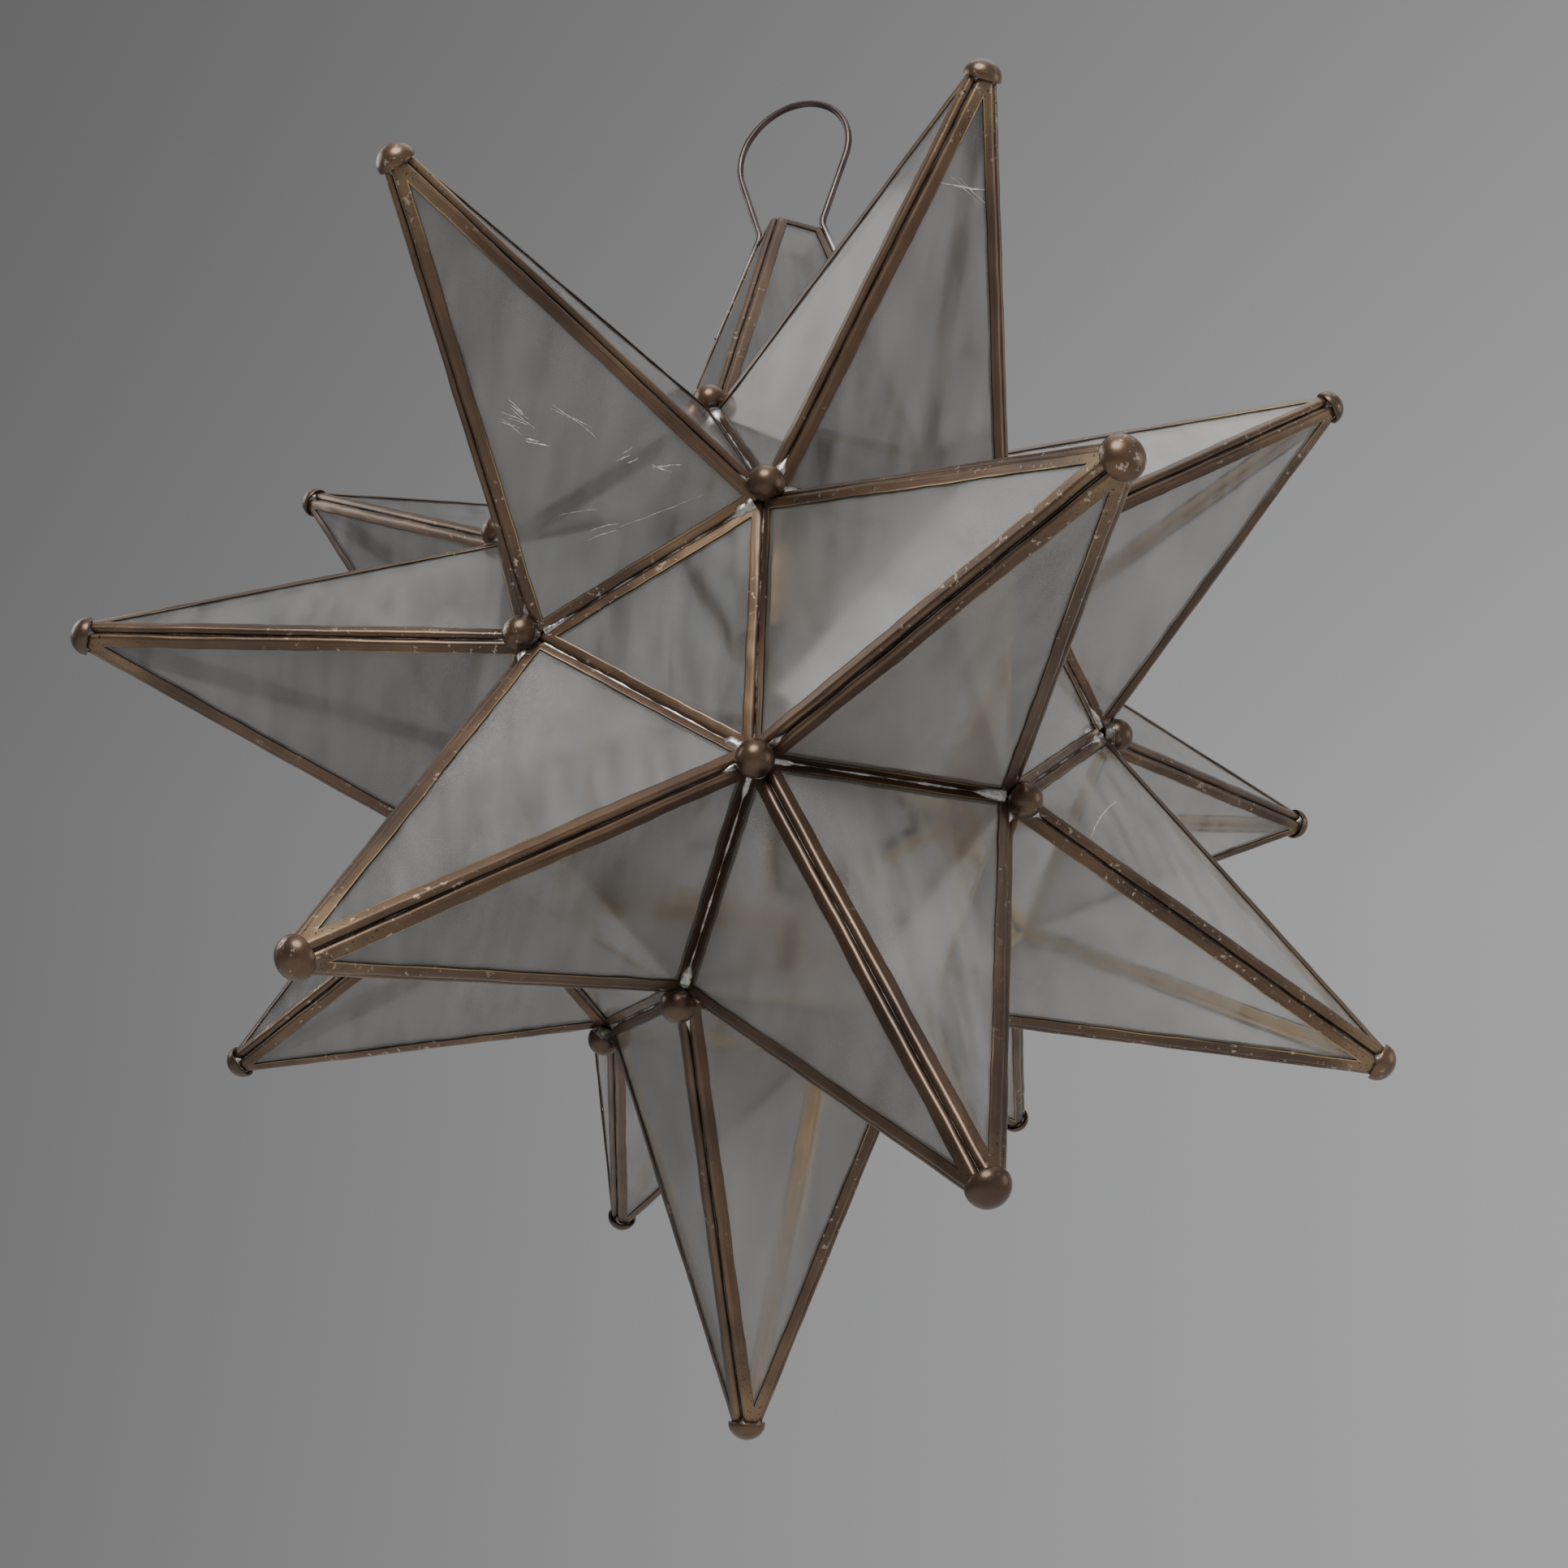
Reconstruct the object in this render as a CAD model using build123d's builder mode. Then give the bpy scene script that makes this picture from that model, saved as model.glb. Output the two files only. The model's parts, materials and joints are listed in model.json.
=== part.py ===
from build123d import *
import os
from itertools import combinations, product
from math import acos, asin, atan2, cos, degrees, pi, radians, sin, sqrt, tan

# Glass star pendant, in millimetres. The star hangs from a wire bail, and the origin is the point
# inside the top of the bail where a hook would carry it. X runs to the right, Y to the back, Z up.

# Star: eighteen four-sided spikes on the square faces of a 26-faced body, eight flat facets between
base_edge = 80.0       # foot of every spike and side of every facet
apex_reach = 229.0     # star centre to the point where the edges of a spike would meet
neck_rise = 109.0      # height of the cut-off top spike above its foot
neck_half = 9.2        # half the side of the open square at its top

# Brass channel round every pane: a U with a half-round back
channel_r = 1.5        # radius of the back, so the channel is twice this thick
channel_leg = 2.25     # flat leg in front of the back
solder_gap = 0.06      # seam between two channels that lie side by side

# Frosted pane
glass_t = 2.0
glass_bite = 1.8       # depth of the pane's edge in the channel
glass_side_play = 0.1  # on each face of the pane
glass_edge_play = 0.2  # beyond the edge of the pane

# Domes: hollow caps on the tips, knobs over the valley corners
dome_r = 5.6
dome_lip = 0.5         # straight lip below the round of a dome
cap_rise = 5.0         # round of a cap, flatter than a knob
cap_mouth_r = 5.0      # hollow of a cap at its rim
cap_crown_r = 3.7      # hollow of a cap at its top
cap_hollow = 3.4       # depth of that hollow
cap_seat = 0.4         # play between the channel ends and the rim of a cap
knob_seat = 0.1        # play between a knob and the channels that it rests on

# Wire bail
wire_r = 1.3
bail_foot = 70.5       # lower end of the wire above the foot of the top spike
bail_bend_rise = 3.0   # bend above the open top
bail_bend_r = 6.0
bail_flare = radians(18)
bail_half = 22.0       # half the width where the straight legs run into the loop
wire_seat = 0.1        # play between the wire and the channels

# Door in one rear facet, for changing the bulb
door_gap = 0.5         # all round, beyond the solder gap
door_corner_cut = 9.0  # corners taken off to pass the knobs
barrel_r = 2.0
barrel_seat = 0.3      # play between the hinge barrel and the channels under it
barrel_length = 40.0
knuckle_length = 13.6  # the door's own knuckle
knuckle_gap = 0.4
leaf_t = 0.8
leaf_width = 7.0
leaf_seat = 0.05
hinge_pin_r = 0.8
hinge_play = 0.05
hinge_head_r = 1.4
hinge_head_t = 0.8

# Turn latch on the free corner of the door
lug_t = 2.0
lug_reach = 6.5
lug_root = 7.0
lug_end = 4.0
latch_inset = 2.6      # pivot from the edge of the lug
latch_pin_r = 1.0
latch_play = 0.05
latch_lift = 0.3       # play under the knob
latch_knob_r = 2.4
latch_knob_h = 3.5
latch_knob_chamfer = 0.6
tongue_t = 0.8
tongue_reach = 7.5
tongue_width = 4.0
tongue_clear = 0.3
tongue_play = 0.02
rivet_r = 1.6
rivet_h = 0.6

# Lamp: crossbar, threaded tube for the cord, lampholder and candle bulb
crossbar_width = 16.0
crossbar_t = 1.5
crossbar_seat = 0.3
tube_r = 5.0
tube_bore_r = 3.5
tube_above = 9.0
tube_below = 8.0
thread_play = 0.05
nut_across = 14.0
nut_h = 4.0
holder_r = 14.0
holder_wall = 1.2
holder_cap_h = 20.0
holder_shoulder = 6.0
holder_body_h = 36.0
holder_ledge = 2.0
insulator_t = 6.5
holder_play = 0.1
screw_r = 7.1          # inside of the lampholder's screw shell
screw_wall = 0.5
screw_h = 20.0
holder_contact_r = 2.5
holder_contact_h = 1.4
bulb_screw_r = 6.9
bulb_screw_h = 16.0
bulb_contact_r = 2.4
bulb_contact_h = 1.4
bulb_base_h = 3.0
bulb_r = 17.5
bulb_length = 76.0
bulb_belly = 30.0      # widest place below the screw cap
bulb_neck_r = 6.2
bulb_wall = 0.8
bulb_play = 0.1
bulb_tip_lean = 0.9    # sideways run of the outline where it reaches the tip
bulb_tip_wall = 1.6
stem_flange_h = 4.0
filament_stem_r = 3.0
filament_stem_h = 32.0
filament_r = 4.5
filament_h = 9.0

# Angles of the body: two square faces meet at 135 degrees, a square and a flat facet at 144.7
square_square = radians(135)
square_facet = pi - acos(sqrt(2 / 3))

half_foot = base_edge / 2
face_d = half_foot * (1 + sqrt(2))
spike_h = apex_reach - face_d
spike_slope = atan2(spike_h, half_foot)
neck_slope = atan2(neck_rise, half_foot - neck_half)
steepest = max(spike_slope, neck_slope)
slant = spike_h / sin(spike_slope)
neck_slant = neck_rise / sin(neck_slope)
facet_slant = base_edge * sin(radians(60))


def seam_inset(angle):
    """Distance of a channel's centre line from the edge that it shares with a neighbour at an angle."""
    return (channel_r + solder_gap / 2) / sin(angle / 2)


def ridge_angle(slope):
    """Angle between two neighbouring panes of one spike."""
    return acos(-cos(slope) ** 2)


valley_in = seam_inset(2 * pi - square_square - 2 * steepest)
facet_angle = 2 * pi - square_facet - steepest
facet_in = seam_inset(facet_angle)
ridge_in = seam_inset(ridge_angle(spike_slope))
neck_ridge_in = seam_inset(ridge_angle(neck_slope))
door_in = facet_in + door_gap


# Places on the star

star_x, star_y, star_z = Vector(1, 0, 0), Vector(0, 1, 0), Vector(0, 0, 1)
upper_back = (star_z + star_y).normalized()
upper_front = (star_z - star_y).normalized()
square_spikes = {
    "right": star_x,
    "left": -star_x,
    "upper_back": upper_back,
    "lower_front": -upper_back,
    "upper_front": upper_front,
    "lower_back": -upper_front,
}
plain_names = {
    "upper_back_upper_front": "top",
    "upper_back_lower_back": "back",
    "lower_front_upper_front": "front",
    "lower_front_lower_back": "bottom",
}

# The bail's legs lie on two opposite ridges of the cut-off spike, in a plane across its corners
ridge_lean = atan2(sqrt(2) * (half_foot - neck_half), neck_rise)
wire_out = (
    sqrt((channel_r + wire_r + wire_seat) ** 2 - (neck_ridge_in * sin(ridge_angle(neck_slope) / 2)) ** 2)
    - neck_ridge_in * cos(ridge_angle(neck_slope) / 2)
)


def bail_leg_half(rise):
    """Half the distance between the two legs of the bail at a height above the foot of the top spike."""
    return sqrt(2) * half_foot - rise * tan(ridge_lean) + wire_out / cos(ridge_lean)


bend_rise = neck_rise + bail_bend_rise
bend_half = bail_leg_half(bend_rise)
flare_top = face_d + bend_rise + (bail_half - bend_half) / tan(bail_flare)
loop_r = bail_half / cos(bail_flare)
loop_z = flare_top + loop_r * sin(bail_flare)
hang_height = loop_z + loop_r - wire_r
centre = Vector(0, 0, -hang_height)


def pane_plane(spike, side, slope):
    """Plane of a spike's pane: x along its foot, y up the slope, z out of the star."""
    foot = centre + spike * face_d + side * half_foot
    return Plane(origin=foot, x_dir=spike.cross(side), z_dir=side * sin(slope) + spike * cos(slope))


def corner(near, *others):
    """Valley corner of the body that lies nearest to one square spike, between two others."""
    return (near * (1 + sqrt(2)) + others[0] + others[1]) * half_foot


def facet_plane(tip, *foot):
    """Plane of a flat facet: x along the side between its two foot corners, y to its tip corner."""
    low = (corner(foot[0], tip, foot[1]) + corner(foot[1], tip, foot[0])) / 2
    up = (corner(tip, *foot) - low).normalized()
    out = (tip + foot[0] + foot[1]).normalized()
    return Plane(origin=centre + low, x_dir=up.cross(out), z_dir=out)


def outline(foot_half, head_half, height, foot_in, side_in, head_in=0.0):
    """Corners of a pane drawn in from its foot, sides and head. A spike's pane ends in a point."""
    lean = atan2(foot_half - head_half, height)
    drawn_in = foot_half - side_in / cos(lean)
    low, high = foot_in, height - head_in
    low_half = drawn_in - low * tan(lean)
    high_half = drawn_in - high * tan(lean)
    if high_half > 0:
        return [(-low_half, low), (low_half, low), (high_half, high), (-high_half, high)]
    return [(-low_half, low), (low_half, low), (0, drawn_in / tan(lean))]


def cut_corners(points, cut):
    """The same outline with every corner taken off at a distance along both of its sides."""
    result = []
    for i, point in enumerate(points):
        here = Vector(*point)
        for other in (points[i - 1], points[(i + 1) % len(points)]):
            step = (Vector(*other) - here).normalized() * cut
            result.append((here.X + step.X, here.Y + step.Y))
    return result


def channel_frame(centre_line, trim=None):
    """Channel bent round a pane, with mitred corners, trimmed off across its tip where a cap covers it."""
    slot_half = glass_t / 2 + glass_side_play
    slot_end = channel_leg - glass_bite - glass_edge_play
    first = Vector(*centre_line[0])
    run = (Vector(*centre_line[1]) - first).normalized()
    with BuildPart() as frame:
        with BuildLine() as path:
            Polyline(*centre_line, close=True)
        with BuildSketch(Plane(origin=first, x_dir=(run.Y, -run.X, 0), z_dir=run)):
            with BuildLine():
                Polyline(
                    (0, channel_r),
                    (-channel_leg, channel_r),
                    (-channel_leg, slot_half),
                    (-slot_end, slot_half),
                    (-slot_end, -slot_half),
                    (-channel_leg, -slot_half),
                    (-channel_leg, -channel_r),
                    (0, -channel_r),
                )
                CenterArc((0, 0), channel_r, -90, 180)
            make_face()
        sweep(path=path.wires()[0], transition=Transition.RIGHT)
        if trim is not None:
            split(bisect_by=Plane(origin=(0, trim, 0), z_dir=(0, 1, 0)), keep=Keep.BOTTOM)
    return frame.part


def glass_pane(points):
    """Flat pane with the given corners."""
    with BuildPart() as glass:
        with BuildSketch():
            with BuildLine():
                Polyline(*points, close=True)
            make_face()
        extrude(amount=glass_t / 2, both=True)
    return glass.part


def save(piece, name):
    piece.label = name
    export_step(piece, f"parts/{name}.step")


def dome(rise, hollow):
    """Round brass dome standing on its rim, with the hollow that takes the channel ends in a cap."""
    round_r = (dome_r ** 2 + rise ** 2) / (2 * rise)
    low = degrees(asin(1 - rise / round_r))
    with BuildPart() as shell:
        with BuildSketch(Plane.XZ):
            with BuildLine():
                Polyline((0, dome_lip + rise), (0, 0), (dome_r, 0), (dome_r, dome_lip))
                CenterArc((0, dome_lip + rise - round_r), round_r, low, 90 - low)
            make_face()
        revolve(axis=Axis.Z)
        if hollow:
            with BuildSketch(Plane.XZ):
                with BuildLine():
                    Polyline((0, 0), (cap_mouth_r, 0), (cap_crown_r, cap_hollow), (0, cap_hollow), close=True)
                make_face()
            revolve(axis=Axis.Z, mode=Mode.SUBTRACT)
    return shell.part


os.makedirs("parts", exist_ok=True)

# Panes and their channels, one of each kind
glass_in = channel_leg - glass_bite
trim_height = slant - ridge_in / sin(atan2(half_foot, slant))
pane_sizes = {
    "valley": (half_foot, 0, slant, valley_in, ridge_in, 0),
    "facet": (half_foot, 0, slant, facet_in, ridge_in, 0),
    "flat": (half_foot, 0, facet_slant, facet_in, facet_in, 0),
    "neck_valley": (half_foot, neck_half, neck_slant, valley_in, neck_ridge_in, channel_r),
    "neck_facet": (half_foot, neck_half, neck_slant, facet_in, neck_ridge_in, channel_r),
}
frames, panes = {}, {}
for kind, (foot, head, height, foot_in, side_in, head_in) in pane_sizes.items():
    trim = trim_height if kind in ("valley", "facet") else None
    frames[kind] = channel_frame(outline(foot, head, height, foot_in, side_in, head_in), trim)
    inner = (foot_in + glass_in, side_in + glass_in, head_in + glass_in)
    panes[kind] = glass_pane(outline(foot, head, height, *inner))

# Every spike: the direction that it points in, and its four sides with the kind of valley at each foot
spikes = {}
for name, ahead in square_spikes.items():
    sides = [(side, "valley") for side in square_spikes.values() if abs(ahead.dot(side)) < 0.5]
    spikes[name] = (ahead, sides)
for (name, one), (other_name, other) in combinations(square_spikes.items(), 2):
    if abs(one.dot(other)) < 0.5:
        both = f"{name}_{other_name}"
        across = (one - other).normalized()
        along = one.cross(other)
        sides = [(across, "valley"), (-across, "valley"), (along, "facet"), (-along, "facet")]
        spikes[plain_names.get(both, both)] = ((one + other).normalized(), sides)

for name, (ahead, sides) in spikes.items():
    neck = name == "top"
    slope = neck_slope if neck else spike_slope
    label = "neck" if neck else f"spike_{name}"
    with BuildPart() as spike_frame:
        for side, kind in sides:
            with Locations(pane_plane(ahead, side, slope)):
                add(frames[f"neck_{kind}" if neck else kind])
    save(spike_frame.part, f"{label}_frame")
    with BuildPart() as spike_glass:
        for side, kind in sides:
            with Locations(pane_plane(ahead, side, slope)):
                add(panes[f"neck_{kind}" if neck else kind])
    save(spike_glass.part, f"{label}_glass")

# Flat facets between three square spikes. The one at the back on the right is the door.
up_and_down = (upper_back, -upper_back)
front_and_back = (upper_front, -upper_front)
door_place = facet_plane(star_x, upper_back, -upper_front)
facet_places = [
    facet_plane(*three)
    for three in product((star_x, -star_x), up_and_down, front_and_back)
    if three != (star_x, upper_back, -upper_front)
]
with BuildPart() as facet_frames:
    with Locations(*facet_places):
        add(frames["flat"])
save(facet_frames.part, "facet_frames")
with BuildPart() as facet_glass:
    with Locations(*facet_places):
        add(panes["flat"])
save(facet_glass.part, "facet_glass")

# Caps on the tips: the rim sits where the channels have spread to the width of the cap
ridge_half = ridge_angle(spike_slope) / 2
neck_ridge_half = ridge_angle(neck_slope) / 2
spread = sqrt((cap_mouth_r - cap_seat - channel_r) ** 2 - (ridge_in * sin(ridge_half)) ** 2)
cap_drop = (spread + ridge_in * cos(ridge_half)) * spike_h / (sqrt(2) * half_foot)
cap_places = [
    Plane(origin=centre + ahead * (apex_reach - cap_drop), z_dir=ahead)
    for name, (ahead, _) in spikes.items()
    if name != "top"
]
cap = dome(cap_rise, hollow=True)
with BuildPart() as tip_caps:
    with Locations(*cap_places):
        add(cap)
save(tip_caps.part, "tip_caps")

# Knobs over the valley corners, resting on the ridges that climb away from each corner
square_axes = (star_x, upper_back, upper_front)
corners = []
for i, near in enumerate(square_axes):
    others = square_axes[:i] + square_axes[i + 1:]
    for a, b, c in product((1, -1), repeat=3):
        corners.append(corner(near * a, others[0] * b, others[1] * c))
corner_d = corners[0].length
neck_corner = sqrt(2) * half_foot
ridge_up = acos((face_d * cos(ridge_lean) - neck_corner * sin(ridge_lean)) / corner_d)
ridge_crest = (channel_r - neck_ridge_in * cos(neck_ridge_half)) / sin(ridge_up)
knob_rise = dome_r / tan(ridge_up) + ridge_crest + knob_seat
knob = dome(dome_r, hollow=False)
with BuildPart() as valley_knobs:
    for place in corners:
        outward = place.normalized()
        with Locations(Plane(origin=centre + place + outward * knob_rise, z_dir=outward)):
            add(knob)
save(valley_knobs.part, "valley_knobs")

# Wire bail
bail_across = (star_x - star_y).normalized()
bail_plane = Plane(origin=centre, x_dir=bail_across, z_dir=bail_across.cross(star_z))
foot_point = (bail_leg_half(bail_foot), face_d + bail_foot)
bend_point = (bend_half, face_d + bend_rise)
flare_point = (bail_half, flare_top)
with BuildPart() as hanging_bail:
    with BuildLine(bail_plane) as wire:
        FilletPolyline(foot_point, bend_point, flare_point, radius=bail_bend_r)
        CenterArc((0, loop_z), loop_r, -degrees(bail_flare), 180 + 2 * degrees(bail_flare))
        FilletPolyline(*[(-w, z) for w, z in (flare_point, bend_point, foot_point)], radius=bail_bend_r)
    bail_path = wire.wires()[0]
    with BuildSketch(Plane(origin=bail_path @ 0, z_dir=bail_path % 0)):
        Circle(wire_r)
    sweep(path=bail_path)
save(hanging_bail.part, "hanging_bail")

# Door: a facet of its own with the corners taken off, hung on the foot of the back spike
door_line = cut_corners(outline(half_foot, 0, facet_slant, door_in, door_in), door_corner_cut)
door_glass_in = door_in + glass_in
glass_cut = door_corner_cut - glass_in / cos(radians(30))
door_pane = cut_corners(outline(half_foot, 0, facet_slant, door_glass_in, door_glass_in), glass_cut)
lug_foot = max(y for _, y in door_line)
latch_y = lug_foot + lug_reach - latch_inset

with BuildPart() as door_frame:
    with Locations(door_place):
        add(channel_frame(door_line))
    with BuildSketch(door_place):
        with BuildLine():
            Polyline(
                (-lug_root / 2, lug_foot),
                (lug_root / 2, lug_foot),
                (lug_end / 2, lug_foot + lug_reach),
                (-lug_end / 2, lug_foot + lug_reach),
                close=True,
            )
        make_face()
    extrude(amount=lug_t / 2, both=True)
    with BuildSketch(door_place):
        with Locations((0, latch_y)):
            Circle(latch_pin_r + latch_play)
    extrude(amount=lug_t, both=True, mode=Mode.SUBTRACT)
save(door_frame.part, "door_frame")
with BuildPart() as door_glass:
    with Locations(door_place):
        add(glass_pane(door_pane))
save(door_glass.part, "door_glass")

# Hinge: its barrel lies in the valley between the door and the back spike
hinge_z = channel_r + barrel_seat + barrel_r
hinge_y = hinge_z / tan((2 * pi - square_facet - spike_slope) / 2)
leaf_z = channel_r + leaf_seat


def hinge_leaf(knuckles):
    """Leaf on a channel with its knuckles of the barrel, each from one place to another along the pin."""
    with BuildPart() as leaf:
        for start, end in knuckles:
            with BuildSketch(Plane(origin=(start, hinge_y, 0), x_dir=(0, 1, 0), z_dir=(1, 0, 0))):
                with Locations((0, hinge_z)):
                    Circle(barrel_r)
                with Locations((leaf_width / 2, leaf_z + leaf_t / 2)):
                    Rectangle(leaf_width, leaf_t)
                with Locations((0, hinge_z)):
                    Circle(hinge_pin_r + hinge_play, mode=Mode.SUBTRACT)
            extrude(amount=end - start)
        strip_start = barrel_r + knuckle_gap
        strip_width = leaf_width - strip_start
        strip_length = knuckles[-1][1] - knuckles[0][0]
        with BuildSketch(Plane.XY.offset(leaf_z)):
            with Locations((0, hinge_y + strip_start + strip_width / 2)):
                Rectangle(strip_length, strip_width)
        extrude(amount=leaf_t)
    return leaf.part


door_knuckle = knuckle_length / 2
fixed_knuckle = door_knuckle + knuckle_gap
barrel_end = barrel_length / 2
with BuildPart() as door_hinge_leaf:
    with Locations(door_place):
        add(hinge_leaf([(-door_knuckle, door_knuckle)]))
save(door_hinge_leaf.part, "door_hinge_leaf")
with BuildPart() as fixed_hinge_leaf:
    with Locations(pane_plane(spikes["back"][0], star_x, spike_slope)):
        add(hinge_leaf([(-barrel_end, -fixed_knuckle), (fixed_knuckle, barrel_end)]))
save(fixed_hinge_leaf.part, "fixed_hinge_leaf")
with BuildPart() as pin:
    with BuildSketch(Plane(origin=(0, hinge_y, hinge_z), z_dir=(1, 0, 0))):
        Circle(hinge_pin_r)
    extrude(amount=barrel_end + hinge_play, both=True)
    for end in (1, -1):
        start = (end * (barrel_end + hinge_play), hinge_y, hinge_z)
        with BuildSketch(Plane(origin=start, z_dir=(end, 0, 0))):
            Circle(hinge_head_r)
        extrude(amount=hinge_head_t)
with BuildPart() as hinge_pin:
    with Locations(door_place):
        add(pin.part)
save(hinge_pin.part, "hinge_pin")

# Turn latch: a knob outside, and a tongue inside that reaches under the channel beside the door
tongue_top = -channel_r - tongue_clear
tongue_low = tongue_top - tongue_t
latch_axis = Plane(
    origin=door_place.from_local_coords(Vector(0, latch_y, 0)), x_dir=door_place.x_dir, z_dir=door_place.z_dir
)
knob_low = lug_t / 2 + latch_lift
with BuildPart() as turn:
    with BuildSketch(Plane.XZ):
        with BuildLine():
            Polyline(
                (0, tongue_low - tongue_play - rivet_h),
                (rivet_r, tongue_low - tongue_play - rivet_h),
                (rivet_r, tongue_low - tongue_play),
                (latch_pin_r, tongue_low - tongue_play),
                (latch_pin_r, knob_low),
                (latch_knob_r, knob_low),
                (latch_knob_r, knob_low + latch_knob_h),
                (0, knob_low + latch_knob_h),
                close=True,
            )
        make_face()
    revolve(axis=Axis.Z)
    chamfer(turn.edges().group_by(Axis.Z)[-1], length=latch_knob_chamfer)
with BuildPart() as latch_knob:
    with Locations(latch_axis):
        add(turn.part)
save(latch_knob.part, "latch_knob")
with BuildPart() as tongue:
    with BuildSketch(Plane.XY.offset(tongue_low)):
        with Locations((0, (tongue_width / 2 - tongue_reach) / 2)):
            SlotOverall(tongue_reach + tongue_width / 2, tongue_width, rotation=90)
        Circle(latch_pin_r + tongue_play, mode=Mode.SUBTRACT)
    extrude(amount=tongue_t)
with BuildPart() as latch_tongue:
    with Locations(latch_axis):
        add(tongue.part)
save(latch_tongue.part, "latch_tongue")

# Crossbar over the foot of the top spike, between the channels on its left and right
bar_top = centre.Z + face_d - crossbar_seat
bar_low = bar_top - crossbar_t
bar_half = half_foot + facet_in * sqrt(2 / 3) - channel_r - crossbar_seat
with BuildPart() as lamp_crossbar:
    with BuildSketch(Plane.XY.offset(bar_low)):
        Rectangle(2 * bar_half, crossbar_width)
        Circle(tube_r + thread_play, mode=Mode.SUBTRACT)
    extrude(amount=crossbar_t)
save(lamp_crossbar.part, "lamp_crossbar")

# Threaded tube that the cord comes down through, and its nut on the crossbar
with BuildPart() as cord_tube:
    with BuildSketch(Plane.XY.offset(bar_low - tube_below)):
        Circle(tube_r)
        Circle(tube_bore_r, mode=Mode.SUBTRACT)
    extrude(amount=tube_below + crossbar_t + tube_above)
save(cord_tube.part, "cord_tube")
with BuildPart() as tube_nut:
    with BuildSketch(Plane.XY.offset(bar_top + thread_play)):
        RegularPolygon(nut_across / 2, 6, major_radius=False)
        Circle(tube_r + thread_play, mode=Mode.SUBTRACT)
    extrude(amount=nut_h)
save(tube_nut.part, "tube_nut")


def turned(points):
    """Solid of revolution about the hanging axis, from a closed outline of (radius, height) points."""
    with BuildPart() as piece:
        with BuildSketch(Plane.XZ):
            with BuildLine():
                Polyline(*points, close=True)
            make_face()
        revolve(axis=Axis.Z)
    return piece.part


# Lampholder: cap, skirt, insulator, screw shell and contact, from the crossbar down
cap_top = bar_low - holder_play
cap_low = cap_top - holder_cap_h
cap_mouth = tube_r + thread_play
holder_in = holder_r - holder_wall
with BuildPart() as lampholder_cap:
    add(turned([
        (cap_mouth, cap_top),
        (holder_r - holder_shoulder, cap_top),
        (holder_r, cap_top - holder_shoulder),
        (holder_r, cap_low),
        (holder_in, cap_low),
        (holder_in, cap_top - holder_shoulder - holder_wall),
        (holder_in - holder_shoulder, cap_top - holder_wall),
        (cap_mouth, cap_top - holder_wall),
    ]))
save(lampholder_cap.part, "lampholder_cap")

body_top = cap_low - holder_play
body_low = body_top - holder_body_h
insulator_low = body_top - insulator_t
ledge_top = insulator_low - holder_play
with BuildPart() as lampholder_body:
    add(turned([
        (holder_in, body_top),
        (holder_r, body_top),
        (holder_r, body_low),
        (holder_in, body_low),
        (holder_in, ledge_top - holder_wall),
        (holder_in - holder_ledge, ledge_top - holder_wall),
        (holder_in - holder_ledge, ledge_top),
        (holder_in, ledge_top),
    ]))
save(lampholder_body.part, "lampholder_body")
with BuildPart() as lampholder_insulator:
    with BuildSketch(Plane.XY.offset(insulator_low)):
        Circle(holder_in - holder_play)
    extrude(amount=insulator_t)
save(lampholder_insulator.part, "lampholder_insulator")

shell_top = insulator_low - holder_play
with BuildPart() as lampholder_shell:
    with BuildSketch(Plane.XY.offset(shell_top - screw_h)):
        Circle(screw_r + screw_wall)
        Circle(screw_r, mode=Mode.SUBTRACT)
    extrude(amount=screw_h)
save(lampholder_shell.part, "lampholder_shell")
with BuildPart() as lampholder_contact:
    with BuildSketch(Plane.XY.offset(shell_top - holder_contact_h)):
        Circle(holder_contact_r)
    extrude(amount=holder_contact_h)
save(lampholder_contact.part, "lampholder_contact")

# Candle bulb: contact, screw cap, glass and filament on its stem
bulb_top = shell_top - holder_contact_h - holder_play
base_top = bulb_top - bulb_contact_h
screw_top = base_top - bulb_base_h
screw_low = screw_top - bulb_screw_h
with BuildPart() as bulb_contact:
    with BuildSketch(Plane.XY.offset(base_top)):
        Circle(bulb_contact_r)
    extrude(amount=bulb_contact_h)
    with BuildSketch(Plane.XY.offset(base_top)):
        Circle(bulb_contact_r)
    with BuildSketch(Plane.XY.offset(screw_top + bulb_play)):
        Circle(bulb_screw_r - bulb_wall)
    loft()
save(bulb_contact.part, "bulb_contact")
with BuildPart() as bulb_screw_cap:
    with BuildSketch(Plane.XY.offset(screw_low)):
        Circle(bulb_screw_r)
        Circle(bulb_neck_r + bulb_play, mode=Mode.SUBTRACT)
    extrude(amount=bulb_screw_h - bulb_wall)
    with BuildSketch(Plane.XY.offset(screw_top - bulb_wall)):
        Circle(bulb_screw_r)
    extrude(amount=bulb_wall)
save(bulb_screw_cap.part, "bulb_screw_cap")

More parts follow.
